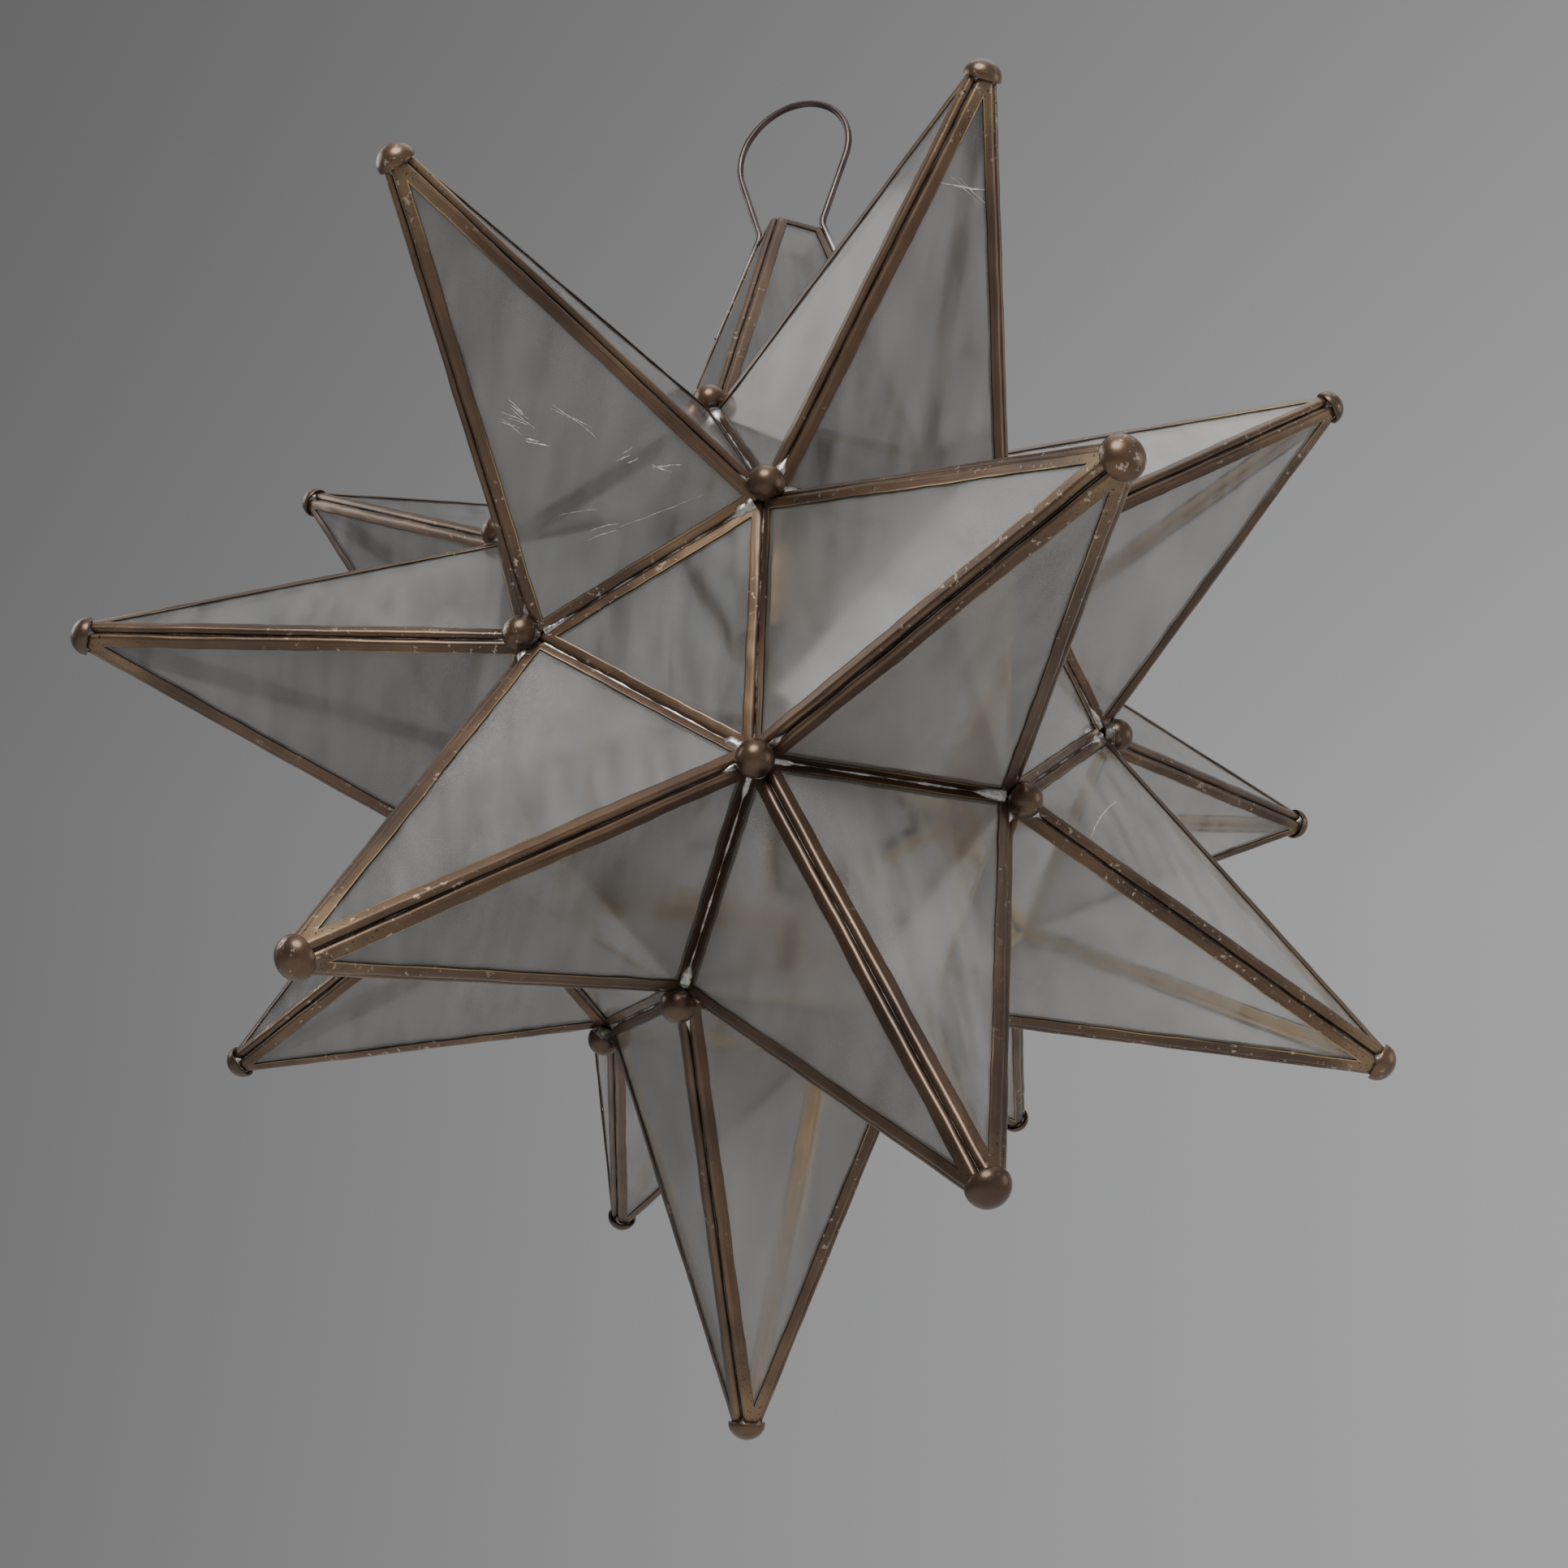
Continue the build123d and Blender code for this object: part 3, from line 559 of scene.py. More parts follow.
def patinated_brass(c, name="patinated_brass", zoned=True):
    """Brown brass with blotches of patina, and streaks that are drawn along a channel where it has zones."""
    f = Finish(name)
    blotch = f.noise(30.0, 5.0)
    speck = f.noise(1500.0, 2.0)
    colour = f.mix(f.ramp(blotch, 0.25, 0.70), c.patina_dark, c.patina_mid)
    if zoned:
        streak = f.noise((38.0, 3400.0, 1.0), 5.0, 0.6, "UV")
        colour = zoned_wear(f, c, colour, blotch, speck, streak)
    else:
        streak = f.noise((300.0, 300.0, 1400.0))
        colour = f.mix(f.ramp(streak, 0.5, 0.8, 0.0, 0.7), colour, c.brass_worn)
    f.link(colour, "Base Color")
    f.link(f.ramp(streak, 0.3, 0.75, 0.40, 0.26), "Roughness")
    f.set(Metallic=0.7, Coat_Weight=0.25, Coat_Roughness=0.15)
    f.bump(f.math("ADD", f.times(speck, 0.6), f.times(streak, 0.5)), 0.00006, 0.25)
    return f.material


def tin_solder(c):
    """Dull grey solder with a bright skin, turned dark brown as painted shade where its shine is low, as
    where it thins out into the groove.
    """
    f = Finish("tin_solder")
    dab = f.zone().outputs["Alpha"]
    lumps = f.noise(900.0, 4.0)
    colour = f.mix(f.ramp(lumps, 0.35, 0.65), shade(c.solder_grey, 0.55), c.solder_grey)
    # Painted shade: where the shine zone is low, the solder is mixed towards a dark brown.
    thin = f.times(f.ramp(dab, 0.02, 0.30, 1.0, 0.0), f.ramp(f.noise(120.0, 4.0), 0.36, 0.64, 1.0, 0.70))
    f.link(f.mix(thin, colour, shade(c.patina_dark, 0.5)), "Base Color")
    f.link(f.ramp(lumps, 0.3, 0.7, 0.22, 0.42), "Roughness")
    f.set(Metallic=0.9)
    f.bump(lumps, 0.0003, 0.6)
    return f.material


PANE_DUST = (0.42, 0.42, 0.40)
# Share of its brightness that the neck's glass keeps: painted shade over the neck.
NECK_LIT_SHARE = 0.6


def sandblasted_glass(c, name="sandblasted_glass", lit_share=1.0):
    """Sand-blasted pane: milky, with cloudy patches, wiped streaks that are clearer and fine dust, darker to
    the left and paler to the right as painted shade and light, and less hazy to the right. A share of its
    light below one dims it as painted shade."""
    f = Finish(name)
    cloud = f.noise(26.0, 4.0)
    dust = f.noise(2200.0, 2.0)
    wiped = f.noise((160.0, 45.0, 22.0), 3.0, 0.5)
    right_side = f.axis("X")
    colour = f.mix(f.ramp(cloud, 0.40, 0.68), c.glass_tint, c.glass_streak)
    colour = f.mix(f.ramp(dust, 0.62, 0.74, 0.0, 0.2), colour, PANE_DUST)
    # Painted shade and light: the colour is scaled down to the left and up to the right, times the share of
    # light it keeps.
    lighter_rightward = f.ramp(right_side, -0.14, 0.13, 0.84 * lit_share, 1.20 * lit_share)
    f.link(f.mix(1.0, colour, lighter_rightward, blend_type="MULTIPLY"), "Base Color")
    clear = f.math("ADD", cloud, wiped)
    haze = f.times(f.ramp(clear, 0.80, 1.22, 0.20, 0.08), f.ramp(right_side, 0.04, 0.16, 1.0, 0.6))
    f.link(haze, "Roughness")
    f.link(f.ramp(clear, 0.80, 1.25, 0.78, 0.94), "Transmission Weight")
    f.set(IOR=1.45, Specular_IOR_Level=0.45, Coat_Weight=0.3, Coat_Roughness=0.07)
    f.bump(wiped, 0.0002, 0.10)
    return f.material


WIRE_OXIDE = ((0.075, 0.054, 0.054), (0.135, 0.105, 0.100))
WIRE_TIN = (0.33, 0.31, 0.30)


def dark_wire():
    """Oxidised wire, paler where solder has run along its legs."""
    f = Finish("dark_wire")
    scrape = f.noise(70.0, 2.0)
    oxide = f.mix(f.ramp(scrape, 0.35, 0.70), *WIRE_OXIDE)
    f.link(f.mix(f.zone().outputs["Alpha"], oxide, WIRE_TIN), "Base Color")
    f.link(f.ramp(scrape, 0.3, 0.7, 0.40, 0.30), "Roughness")
    f.set(Metallic=0.85)
    return f.material


def plain_metal(name, dark, light, roughness):
    """Turned or drawn metal fitting with faint cloudy tarnish and fine tool lines."""
    f = Finish(name)
    lines = f.noise((120.0, 120.0, 4000.0), 2.0)
    f.link(f.mix(f.ramp(f.noise(160.0, 4.0), 0.35, 0.7), dark, light), "Base Color")
    f.link(f.ramp(lines, 0.3, 0.7, roughness - 0.07, roughness + 0.08), "Roughness")
    f.set(Metallic=0.95)
    f.bump(lines, 0.00005, 0.4)
    return f.material


def mottled(name, pattern, band, dark, light, **sockets):
    """A finish between two colours, which follow a noise within a band of its values."""
    f = Finish(name)
    f.link(f.mix(f.ramp(f.noise(*pattern), *band), dark, light), "Base Color")
    f.set(**sockets)
    return f.material


def unglazed_ceramic():
    """Off-white ceramic with a faint grain."""
    f = Finish("unglazed_ceramic")
    grain = f.noise(900.0, 4.0)
    f.link(f.mix(f.ramp(grain, 0.3, 0.75), (0.70, 0.67, 0.60), (0.83, 0.81, 0.76)), "Base Color")
    f.set(Roughness=0.62)
    f.bump(grain, 0.0001, 0.5)
    return f.material


def pane_list(m, s):
    """Every spike's four panes, as (CAD node, corners, contact angles, place, trim, tip start)."""
    trim = m.spike.slant - m.spike.inset / np.sin(np.arctan2(m.half, m.spike.slant))
    found = []
    for name, (ahead, sides) in spike_table().items():
        shape = m.neck if name == "top" else m.spike
        for side, kind in sides:
            foot_in, foot = m.foot_in[kind], m.foot_contact[kind]
            place = pane_place(m, ahead, side, shape.slope)
            if name == "top":
                corners = outline(m.half, s.neck_half, shape.slant, foot_in, shape.inset, s.channel_r)
                contact = np.array([foot, shape.contact, FREE_SIDE, shape.contact])
                found.append(("neck_frame", corners, contact, place, None, None))
            else:
                corners = outline(m.half, 0.0, shape.slant, foot_in, shape.inset)
                contact = np.array([foot, shape.contact, shape.contact])
                found.append((f"spike_{name}_frame", corners, contact, place, trim, shape.slant - TIP_ZONE))
    return found


class STAR_OT_channels(bpy.types.Operator):
    """Brass channels round the panes of every spike and of the flat facets"""

    bl_idname = "star.channels"
    bl_label = "Brass channels"

    def execute(self, context):
        s = context.scene.star_sizes
        m = measures(s)
        brass = shared(patinated_brass, context.scene.star_finish)
        surfaces = {}
        for seed, (node, corners, contact, place, trim, tip_from) in enumerate(pane_list(m, s)):
            surface = surfaces.setdefault(node, Surface())
            add_channel(surface, s, corners, contact, place, CHANNEL_SEED + SEED_STEP * seed, trim, tip_from)
        facets = surfaces.setdefault("facet_frames", Surface())
        flat = outline(m.half, 0.0, m.facet_slant, m.foot_in["facet"], m.foot_in["facet"])
        contact = np.full(3, m.foot_contact["facet"])
        for seed, place in enumerate(fixed_facets(m)):
            add_channel(facets, s, flat, contact, place, FACET_SEED + SEED_STEP * seed)
        for node, surface in surfaces.items():
            piece = surface.build(node.replace("_frame", "_channel"), brass)
            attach(piece, "star")
            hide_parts(node)
        return {"FINISHED"}


class Bead(NamedTuple):
    """One measure of a line of solder: at its thinnest, and what its unevenness and a dab add to it."""

    thin: float
    uneven: float
    dab: float


BEAD_WIDE = Bead(0.00014, 0.00016, 0.00195)
BEAD_HIGH = Bead(0.00012, 0.00010, 0.00115)
BEAD_LIFT = Bead(0.00036, 0.00012, 0.00075)
BEAD_END = 0.00008
BEAD_WAVES = (0.023, 0.0091, 0.0047)
BEAD_SEED = 300
BEAD_GIRTH = 0.0003
BEAD_SIDES = 8
BEAD_STEPS = 73
VALLEY_BEAD = 2.1
RIDGE_BEAD = 0.8
# Painted light on the solder lines in the valleys, which lie in shade.
VALLEY_SHINE = 0.30
# A dab beside a knob: its range of sizes and the least that is made, its full stretch and its tail.
DAB_SIZES = (-0.1, 1.1)
DAB_LEAST = 0.2
DAB_FLAT = 0.0044
DAB_TAILS = (0.0014, 0.0036)
DAB_SEED = 41
# From the ends of a line of solder to the knob, the point of the spike or the open square.
KNOB_GAP = 0.0040
TIP_GAP = 0.0085
NECK_GAP = 0.0004


def ridge_seams(m, s, name, ahead, sides):
    """The grooves on a spike's ridges, from the knob at the foot to the tip or to the neck's open square."""
    lines = []
    shape = m.neck if name == "top" else m.spike
    for (side, _), (other, _) in product(sides, sides):
        if square_to(side, other) and np.cross(side, other) @ ahead > 0:
            corner = STAR_CENTRE + ahead * m.face + (side + other) * m.half
            if name == "top":
                end = STAR_CENTRE + ahead * (m.face + s.neck_rise) + (side + other) * s.neck_half
            else:
                end = STAR_CENTRE + ahead * s.apex_reach
            out = unit(sum(pane_place(m, ahead, way, shape.slope)[3] for way in (side, other)))
            run = unit(end - corner)
            stop = run * (NECK_GAP if name == "top" else TIP_GAP)
            below = out * shape.drop
            lines.append((corner + run * KNOB_GAP - below, end - stop - below, out, False))
    return lines


def seam_lines(m, s):
    """Every groove that is soldered, as (start, end, outwards, is a valley): the line lies midway between the
    centre lines of the two channels. All start at a knob, and valleys end at one too."""
    lines, feet = [], {}

    def add_foot(spot, *rest):
        feet.setdefault(tuple(np.round(spot, 5)), []).append((spot, *rest))

    for name, (ahead, sides) in spike_table().items():
        slope = (m.neck if name == "top" else m.spike).slope
        for side, kind in sides:
            add_foot(*pane_place(m, ahead, side, slope), m.foot_in[kind])
        lines += ridge_seams(m, s, name, ahead, sides)
    corners = np.array([(-m.half, 0), (m.half, 0), (0, m.facet_slant)])
    for origin, x, y, z in fixed_facets(m):
        for here, ahead in zip(corners, np.roll(corners, -1, 0)):
            middle, way = (here + ahead) / 2, unit(ahead - here)
            along, inner = x * way[0] + y * way[1], x * -way[1] + y * way[0]
            add_foot(origin + x * middle[0] + y * middle[1], along, inner, z, m.foot_in["facet"])
    for pair in feet.values():
        if len(pair) == 2:
            (spot, way, in_a, out_a, d_a), (_, _, in_b, out_b, d_b) = pair
            groove = spot + (in_a * d_a + in_b * d_b) / 2
            reach = way * (m.half - KNOB_GAP)
            lines.append((groove - reach, groove + reach, unit(out_a + out_b), True))
    return lines


def bead_grid(line, seed, dice):
    """A bead of solder as a grid (row, column, 3), with its length run and its shine: an ellipse carried
    along the groove. Its half width, half height and lift are each a thin part, plus waves, plus a dab at
    each knob that is level for a stretch and then falls off as a bell curve."""
    start, end, out, valley = line
    turn = circle(BEAD_SIDES)
    length = np.linalg.norm(end - start)
    run = (end - start) / length
    side = np.cross(out, run)
    along = (1 - np.cos(np.linspace(0, np.pi, BEAD_STEPS))) / 2 * length
    dab = np.zeros(BEAD_STEPS)
    for near, at_knob in ((along, True), (length - along, valley)):
        size, tail = dice.uniform(*DAB_SIZES), dice.uniform(*DAB_TAILS)
        if at_knob and size > DAB_LEAST:
            dab = np.maximum(dab, size * np.exp(-(np.clip(near - DAB_FLAT, 0, None) / tail) ** 2))
    uneven = 0.5 + 0.5 * np.clip(waver(along, seed, 1.0, BEAD_WAVES), -1, 1)
    thick = VALLEY_BEAD if valley else RIDGE_BEAD
    wide = (BEAD_WIDE.thin + BEAD_WIDE.uneven * uneven) * thick
    wide = wide + BEAD_WIDE.dab * dab * (0.75 + 0.25 * uneven)
    high = BEAD_HIGH.thin + BEAD_HIGH.uneven * uneven + BEAD_HIGH.dab * dab
    lift = BEAD_LIFT.thin + BEAD_LIFT.uneven * uneven * thick + BEAD_LIFT.dab * dab
    wide[[0, -1]] = high[[0, -1]] = BEAD_END
    above = lift[:, None] + high[:, None] * np.sin(turn)
    aside = wide[:, None] * np.cos(turn)
    points = start + along[:, None, None] * run + out * above[..., None] + side * aside[..., None]
    # The shine is painted light; where it is low, the solder material paints shade.
    return points, along, np.maximum(dab, VALLEY_SHINE * uneven if valley else 0.0)


class STAR_OT_solder(bpy.types.Operator):
    """Lines of solder in the grooves between channels, swelling to dabs beside the knobs"""

    bl_idname = "star.solder"
    bl_label = "Solder"

    def execute(self, context):
        s = context.scene.star_sizes
        dice = np.random.default_rng(DAB_SEED)
        surface = Surface()
        for seed, line in enumerate(seam_lines(measures(s), s)):
            points, along, shine = bead_grid(line, BEAD_SEED + seed, dice)
            surface.add_tube(points, along, circle(BEAD_SIDES) * BEAD_GIRTH, zoned(points, shine[:, None]))
        piece = surface.build("solder_seams", shared(tin_solder, context.scene.star_finish))
        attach(piece, "star")
        return {"FINISHED"}


class DomeKind(NamedTuple):
    """A kind of dome: its radius and height as shares of the dome radius, the rings under its rim as (share
    of its radius, height), how far its rim waves, its tip zone and its first seed."""

    wide: float
    tall: float
    under: tuple
    rim_wave: float
    tip: float
    seed: int


class Collar(NamedTuple):
    """Solder under a dome: radius and height of its top and low rings, and how bright it stays against the
    solder's painted shade.
    """

    top_r: float
    low_r: float
    top: float
    low: float
    shine: float


CAP = DomeKind(1.02, 0.84, ((0.70, 0.0015), (0.84, 0.0001)), 0.00016, 0.25, 750)
KNOB = DomeKind(1.0, 1.0, ((0.35, 0.0), (0.9, 0.0)), 0.0, 0.0, 700)
CAP_COLLAR = Collar(0.0046, 0.0031, 0.0006, -0.0026, 0.12)
KNOB_COLLAR = Collar(0.0053, 0.0036, 0.0003, -0.0030, 0.6)
DOME_DENTS = (0.002, 0.007)
DOME_STEPS = (14, 32)
COLLAR_STEPS = (7, 24)
# Metres of pattern up and round a dome and a collar, and from one dome to the next.
DOME_SPAN = (0.010, 0.030)
COLLAR_SPAN = (0.005, 0.030)
DOME_OFFSET = 0.05
COLLAR_LUMPS = 0.22
COLLAR_SEED = 800
UNDER_DIRT_AND_SHADE = 0.6
# Distance from a cap's axis to the channels' centre lines at its rim.
CAP_SEAT = 0.0031
# A way that no dome faces, to start its turn from.
ASIDE = (0.31, 0.83, 0.46)


def dome_grid(s, kind, seed):
    """A dome on its rim as a grid (row, column, 3) about +Z: a rolled lip, then a quarter circle to the
    crown, all dented a little by low waves round the dome. Row 0 lies under the rim."""
    dice = np.random.default_rng(seed)
    rows, cols = DOME_STEPS
    around = circle(cols)
    rise = np.linspace(0, np.pi / 2, rows)[:-1]
    r, lip = s.dome_r * kind.wide, s.dome_lip
    shares, heights = zip(*kind.under)
    radius = np.concatenate([r * np.array(shares), [r * 0.985, r], r * np.cos(rise)])
    height = np.concatenate([heights, [0.0, lip * 0.5], lip + kind.tall * r * np.sin(rise)])
    phase = dice.uniform(0, 2 * np.pi, 4)
    dent = sum(np.sin(k * around + phase[k - 1]) for k in (1, 2, 3)) * dice.uniform(*DOME_DENTS)
    dent = dent * np.clip(radius / r, 0, 1)[:, None]
    dent[:2] = 0
    near_rim = (np.arange(len(radius)) < 5)[:, None]
    wave = np.abs(kind.rim_wave * np.sin(3 * around + phase[3])) * near_rim
    ring = radius[:, None] * (1 + dent)
    tall = height[:, None] * (1 + 0.5 * dent) + wave
    crown = np.clip(height / (lip + r), 0, 1) ** 1.5
    return np.stack([ring * np.cos(around), ring * np.sin(around), tall], -1), crown


def collar_grid(collar, seed):
    """A lumpy collar of solder as a grid (row, column, 3) about +Z: its radius changes evenly from the low
    ring to the top ring, times one plus waves round the collar that fade towards the top."""
    dice = np.random.default_rng(seed)
    rows, cols = COLLAR_STEPS
    around = circle(cols)
    t = np.linspace(0, 1, rows)[:, None]
    phase = dice.uniform(0, 2 * np.pi, 5)
    lumps = sum(np.sin(k * around + phase[k - 2] + 0.8 * t * k) / k for k in (2, 3, 5)) * COLLAR_LUMPS
    ring = (collar.low_r + (collar.top_r - collar.low_r) * t) * (1 + lumps * (0.4 + 0.6 * (1 - t)))
    rise = collar.low + (collar.top - collar.low) * t + 0 * ring
    return np.stack([ring * np.cos(around), ring * np.sin(around), rise], -1)


def set_on(grid, spot, out):
    """A grid about +Z carried to a spot, with +Z turned outwards."""
    across = unit(np.cross(out, ASIDE))
    return carried(grid, (spot, across, np.cross(out, across), out))


def tip_spots(m, s):
    """Each cap's place and way: so far below the spike's point that the channels' backs fill its seat."""
    spread = np.sqrt(CAP_SEAT ** 2 - m.spike.aside ** 2)
    drop = (spread + m.spike.drop) * m.spike_h / (np.sqrt(2) * m.half)
    ways = [ahead for name, (ahead, _) in spike_table().items() if name != "top"]
    return [(STAR_CENTRE + ahead * (s.apex_reach - drop), ahead) for ahead in ways]


def knob_spots(m, s):
    """Each knob's place and way: its rim clears the backs of the channels on the neck's ridges, which climb
    steepest from a corner."""
    squares = (STAR_RIGHT, UPPER_BACK, UPPER_FRONT)
    spots = []
    for i, near in enumerate(squares):
        one, other = squares[:i] + squares[i + 1:]
        for a, b, c in product((1, -1), repeat=3):
            corner = valley_corner(m, near * a, one * b, other * c)
            level = m.face * np.cos(m.neck_lean) - np.sqrt(2) * m.half * np.sin(m.neck_lean)
            climb = np.arccos(level / np.linalg.norm(corner))
            crest = (s.channel_r - m.neck.drop) / np.sin(climb)
            rise = s.dome_r / np.tan(climb) + crest + PLAY
            spots.append((STAR_CENTRE + corner + unit(corner) * rise, unit(corner)))
    return spots


class STAR_OT_domes(bpy.types.Operator):
    """Dome caps on the tips of the spikes and dome knobs over the valley corners, with solder under them"""

    bl_idname = "star.domes"
    bl_label = "Caps and knobs"

    def execute(self, context):
        s = context.scene.star_sizes
        m = measures(s)
        colours = context.scene.star_finish
        tips, knobs = tip_spots(m, s), knob_spots(m, s)
        for name, node, spots, kind in (("tip_domes", "tip_caps", tips, CAP),
                                        ("valley_domes", "valley_knobs", knobs, KNOB)):
            surface = Surface()
            for seed, (spot, out) in enumerate(spots):
                grid, crown = dome_grid(s, kind, kind.seed + seed)
                # The crown zone gives the tops of the domes rubbed wear and a painted highlight.
                zones = zoned(grid, crown[:, None])
                zones[..., 2] = kind.tip
                # Dirt and painted shade under each dome's rim.
                zones[:2, :, 0] = UNDER_DIRT_AND_SHADE
                u, v = (np.linspace(0, end, n) for end, n in zip(DOME_SPAN, grid.shape))
                surface.add_tube(set_on(grid, spot, out), u + seed * DOME_OFFSET, v, zones)
            piece = surface.build(name, shared(patinated_brass, colours))
            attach(piece, "star")
            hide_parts(node)
        collars = Surface()
        for seed, (spot, out) in enumerate(knobs + tips):
            collar = KNOB_COLLAR if seed < len(knobs) else CAP_COLLAR
            grid = collar_grid(collar, COLLAR_SEED + seed)
            u, v = (np.linspace(0, end, n) for end, n in zip(COLLAR_SPAN, grid.shape))
            collars.add_tube(set_on(grid, spot, out), u, v, zoned(grid, collar.shine))
        piece = collars.build("solder_collars", shared(tin_solder, colours))
        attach(piece, "star")
        return {"FINISHED"}


# The bail: height of its feet on the neck, its bend above the neck, the half width and flare of its loop.
BAIL_FOOT = 0.0705
BAIL_BEND = 0.003
BAIL_BEND_R = 0.006
BAIL_HALF = 0.022
BAIL_FLARE = np.radians(18)
WIRE_WAVES = (0.031, 0.012, 0.005)
WIRE_SWELL = 0.03
WIRE_SEED = 77
WIRE_SIDES = 16
LEG_STEPS, BEND_STEPS, RISE_STEPS, LOOP_STEPS = 14, 10, 12, 40
TINNED_BELOW = 0.004
TINNED_FADE = 0.006
TINNED_MOST = 0.8


def arc(centre, radius, start, end, count):
    """Points on a circle between two angles, as rows of (across, up)."""
    a = np.linspace(start, end, count)
    return np.stack([centre[0] + radius * np.cos(a), centre[1] + radius * np.sin(a)], 1)


def rounded(a, b, c, radius, count):
    """Points on the arc of a radius that rounds the corner b between the lines to a and c."""
    to_a, to_c = unit(np.subtract(a, b)), unit(np.subtract(c, b))
    half = np.arccos(np.clip(to_a @ to_c, -1, 1)) / 2
    centre = b + unit(to_a + to_c) * radius / np.sin(half)
    first, last = b + to_a * radius / np.tan(half) - centre, b + to_c * radius / np.tan(half) - centre
    start = np.arctan2(first[1], first[0])
    sweep = (np.arctan2(last[1], last[0]) - start + np.pi) % (2 * np.pi) - np.pi
    return arc(centre, radius, start, start + sweep, count)


def bail_path(m, s):
    """The bail's line as rows of (across, up), with the height of its bend: up a ridge of the neck, round the
    bend, out to the loop, over it, and the same mirrored."""
    apart = s.channel_r + s.wire_r + PLAY
    out = np.sqrt(apart ** 2 - m.neck.aside ** 2) - m.neck.drop
    start = np.sqrt(2) * m.half + out / np.cos(m.neck_lean)
    foot, bend = (
        np.array([start - rise * np.tan(m.neck_lean), m.face + rise])
        for rise in (BAIL_FOOT, s.neck_rise + BAIL_BEND))
    top = np.array([BAIL_HALF, bend[1] + (BAIL_HALF - bend[0]) / np.tan(BAIL_FLARE)])
    loop_r = BAIL_HALF / np.cos(BAIL_FLARE)
    loop = np.array([0.0, top[1] + loop_r * np.sin(BAIL_FLARE)])
    corner = rounded(foot, bend, top, BAIL_BEND_R, BEND_STEPS)
    leg = foot + np.linspace(0, 1, LEG_STEPS)[:, None] * (corner[0] - foot)
    rise = corner[-1] + np.linspace(0, 1, RISE_STEPS)[1:, None] * (top - corner[-1])
    right = np.concatenate([leg[:-1], corner, rise[:-1]])
    over = arc(loop, loop_r, -BAIL_FLARE, np.pi + BAIL_FLARE, LOOP_STEPS)
    return np.concatenate([right, over, right[::-1] * (-1, 1)]), bend[1]


def wire_grid(line, flat, radius):
    """A wire as a grid (row, column, 3), with its length run: a circle carried along a line in a plane,
    square to the line, with a radius that swells by waves. The plane is given by the way square to it."""
    run = np.gradient(line, axis=0)
    run /= np.linalg.norm(run, axis=1)[:, None]
    side = np.cross(flat, run)
    length = np.concatenate([[0], np.cumsum(np.linalg.norm(np.diff(line, axis=0), axis=1))])
    turn = circle(WIRE_SIDES)
    radius = radius * (1 + waver(length, WIRE_SEED, WIRE_SWELL, WIRE_WAVES))[:, None, None]
    ring = np.cos(turn)[:, None] * side[:, None, :] + np.sin(turn)[:, None] * flat
    return line[:, None, :] + radius * ring, length


class STAR_OT_bail(bpy.types.Operator):
    """Bent wire bail on two opposite ridges of the neck"""

    bl_idname = "star.bail"
    bl_label = "Wire bail"

    def execute(self, context):
        s = context.scene.star_sizes
        path, bend = bail_path(measures(s), s)
        across = unit([1.0, -1.0, 0.0])
        line = STAR_CENTRE + path[:, :1] * across + path[:, 1:] * STAR_UP
        points, length = wire_grid(line, np.cross(across, STAR_UP), s.wire_r)
        tinned = np.clip((bend - TINNED_BELOW - path[:, 1:]) / TINNED_FADE, 0, TINNED_MOST)
        surface = Surface()
        surface.add_tube(points, length, circle(WIRE_SIDES) * s.wire_r, zoned(points, tinned))
        piece = surface.build("bail_wire", shared(dark_wire))
        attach(piece, "star")
        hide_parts("hanging_bail")
        return {"FINISHED"}


class ScratchGroup(NamedTuple):
    """Like scratches on one pane: their middle along the foot and up the slope, heading and spread in
    degrees, count, usual length and width, and how far they scatter."""

    middle: tuple
    heading: float
    spread: float
    count: int
    length: float
    width: float
    scatter: float


# The groups on each pane, which is known by its spike and its side.
SCRATCHES = {
    ("left_upper_front", "lower_front"): (
        ScratchGroup((-0.010, 0.057), -65, 22, 7, 0.008, 0.00018, 0.0030),
        ScratchGroup((-0.010, 0.047), -45, 10, 2, 0.006, 0.00040, 0.0020),
        ScratchGroup((0.004, 0.048), -63, 9, 3, 0.013, 0.00014, 0.0015),
        ScratchGroup((0.013, 0.032), -5, 8, 3, 0.004, 0.00030, 0.0030),
        ScratchGroup((0.019, 0.022), -40, 16, 2, 0.009, 0.00036, 0.0010),
        ScratchGroup((0.011, 0.013), 172, 3, 1, 0.024, 0.00018, 0.0005),
        ScratchGroup((-0.006, 0.017), 165, 6, 2, 0.008, 0.00024, 0.0020),
        ScratchGroup((-0.008, 0.025), -24, 6, 1, 0.011, 0.00014, 0.0010),
    ),
    ("upper_front", "lower_front"): (
        ScratchGroup((0.000, 0.098), 6, 4, 1, 0.013, 0.00036, 0.0005),
        ScratchGroup((0.002, 0.096), -24, 10, 3, 0.014, 0.00016, 0.0030),
    ),
    ("right_lower_front", "upper_front"): (
        ScratchGroup((0.010, 0.023), 7, 2, 1, 0.038, 0.00030, 0.0005),
    ),
}
# A stroke's middle stands on the pane's face, half the glass above the middle of the channel.
SCRATCH_BASE = 0.00101
SCRATCH_RISE = 0.00003
SCRATCH_GREY, SCRATCH_LIGHT = (0.45, 0.43, 0.40), (0.92, 0.88, 0.80)
SCRATCH_SEED = 600
STROKE_SEED = 500
SCRATCH_STEPS = 25
SCRATCH_GIRTH = 0.0001
SCRATCH_SIDES = 6
SCRATCH_SAG = 0.04
# A stroke's length and width as shares of its group's.
SCRATCH_LENGTHS = (0.7, 1.25)
SCRATCH_WIDTHS = (0.25, 0.55)
SCRATCH_STRAY = 0.00010
SCRATCH_STRAY_WAVES = (0.009, 0.004, 0.0017)
SCRATCH_SWELL_WAVES = (0.005, 0.0023, 0.0011)


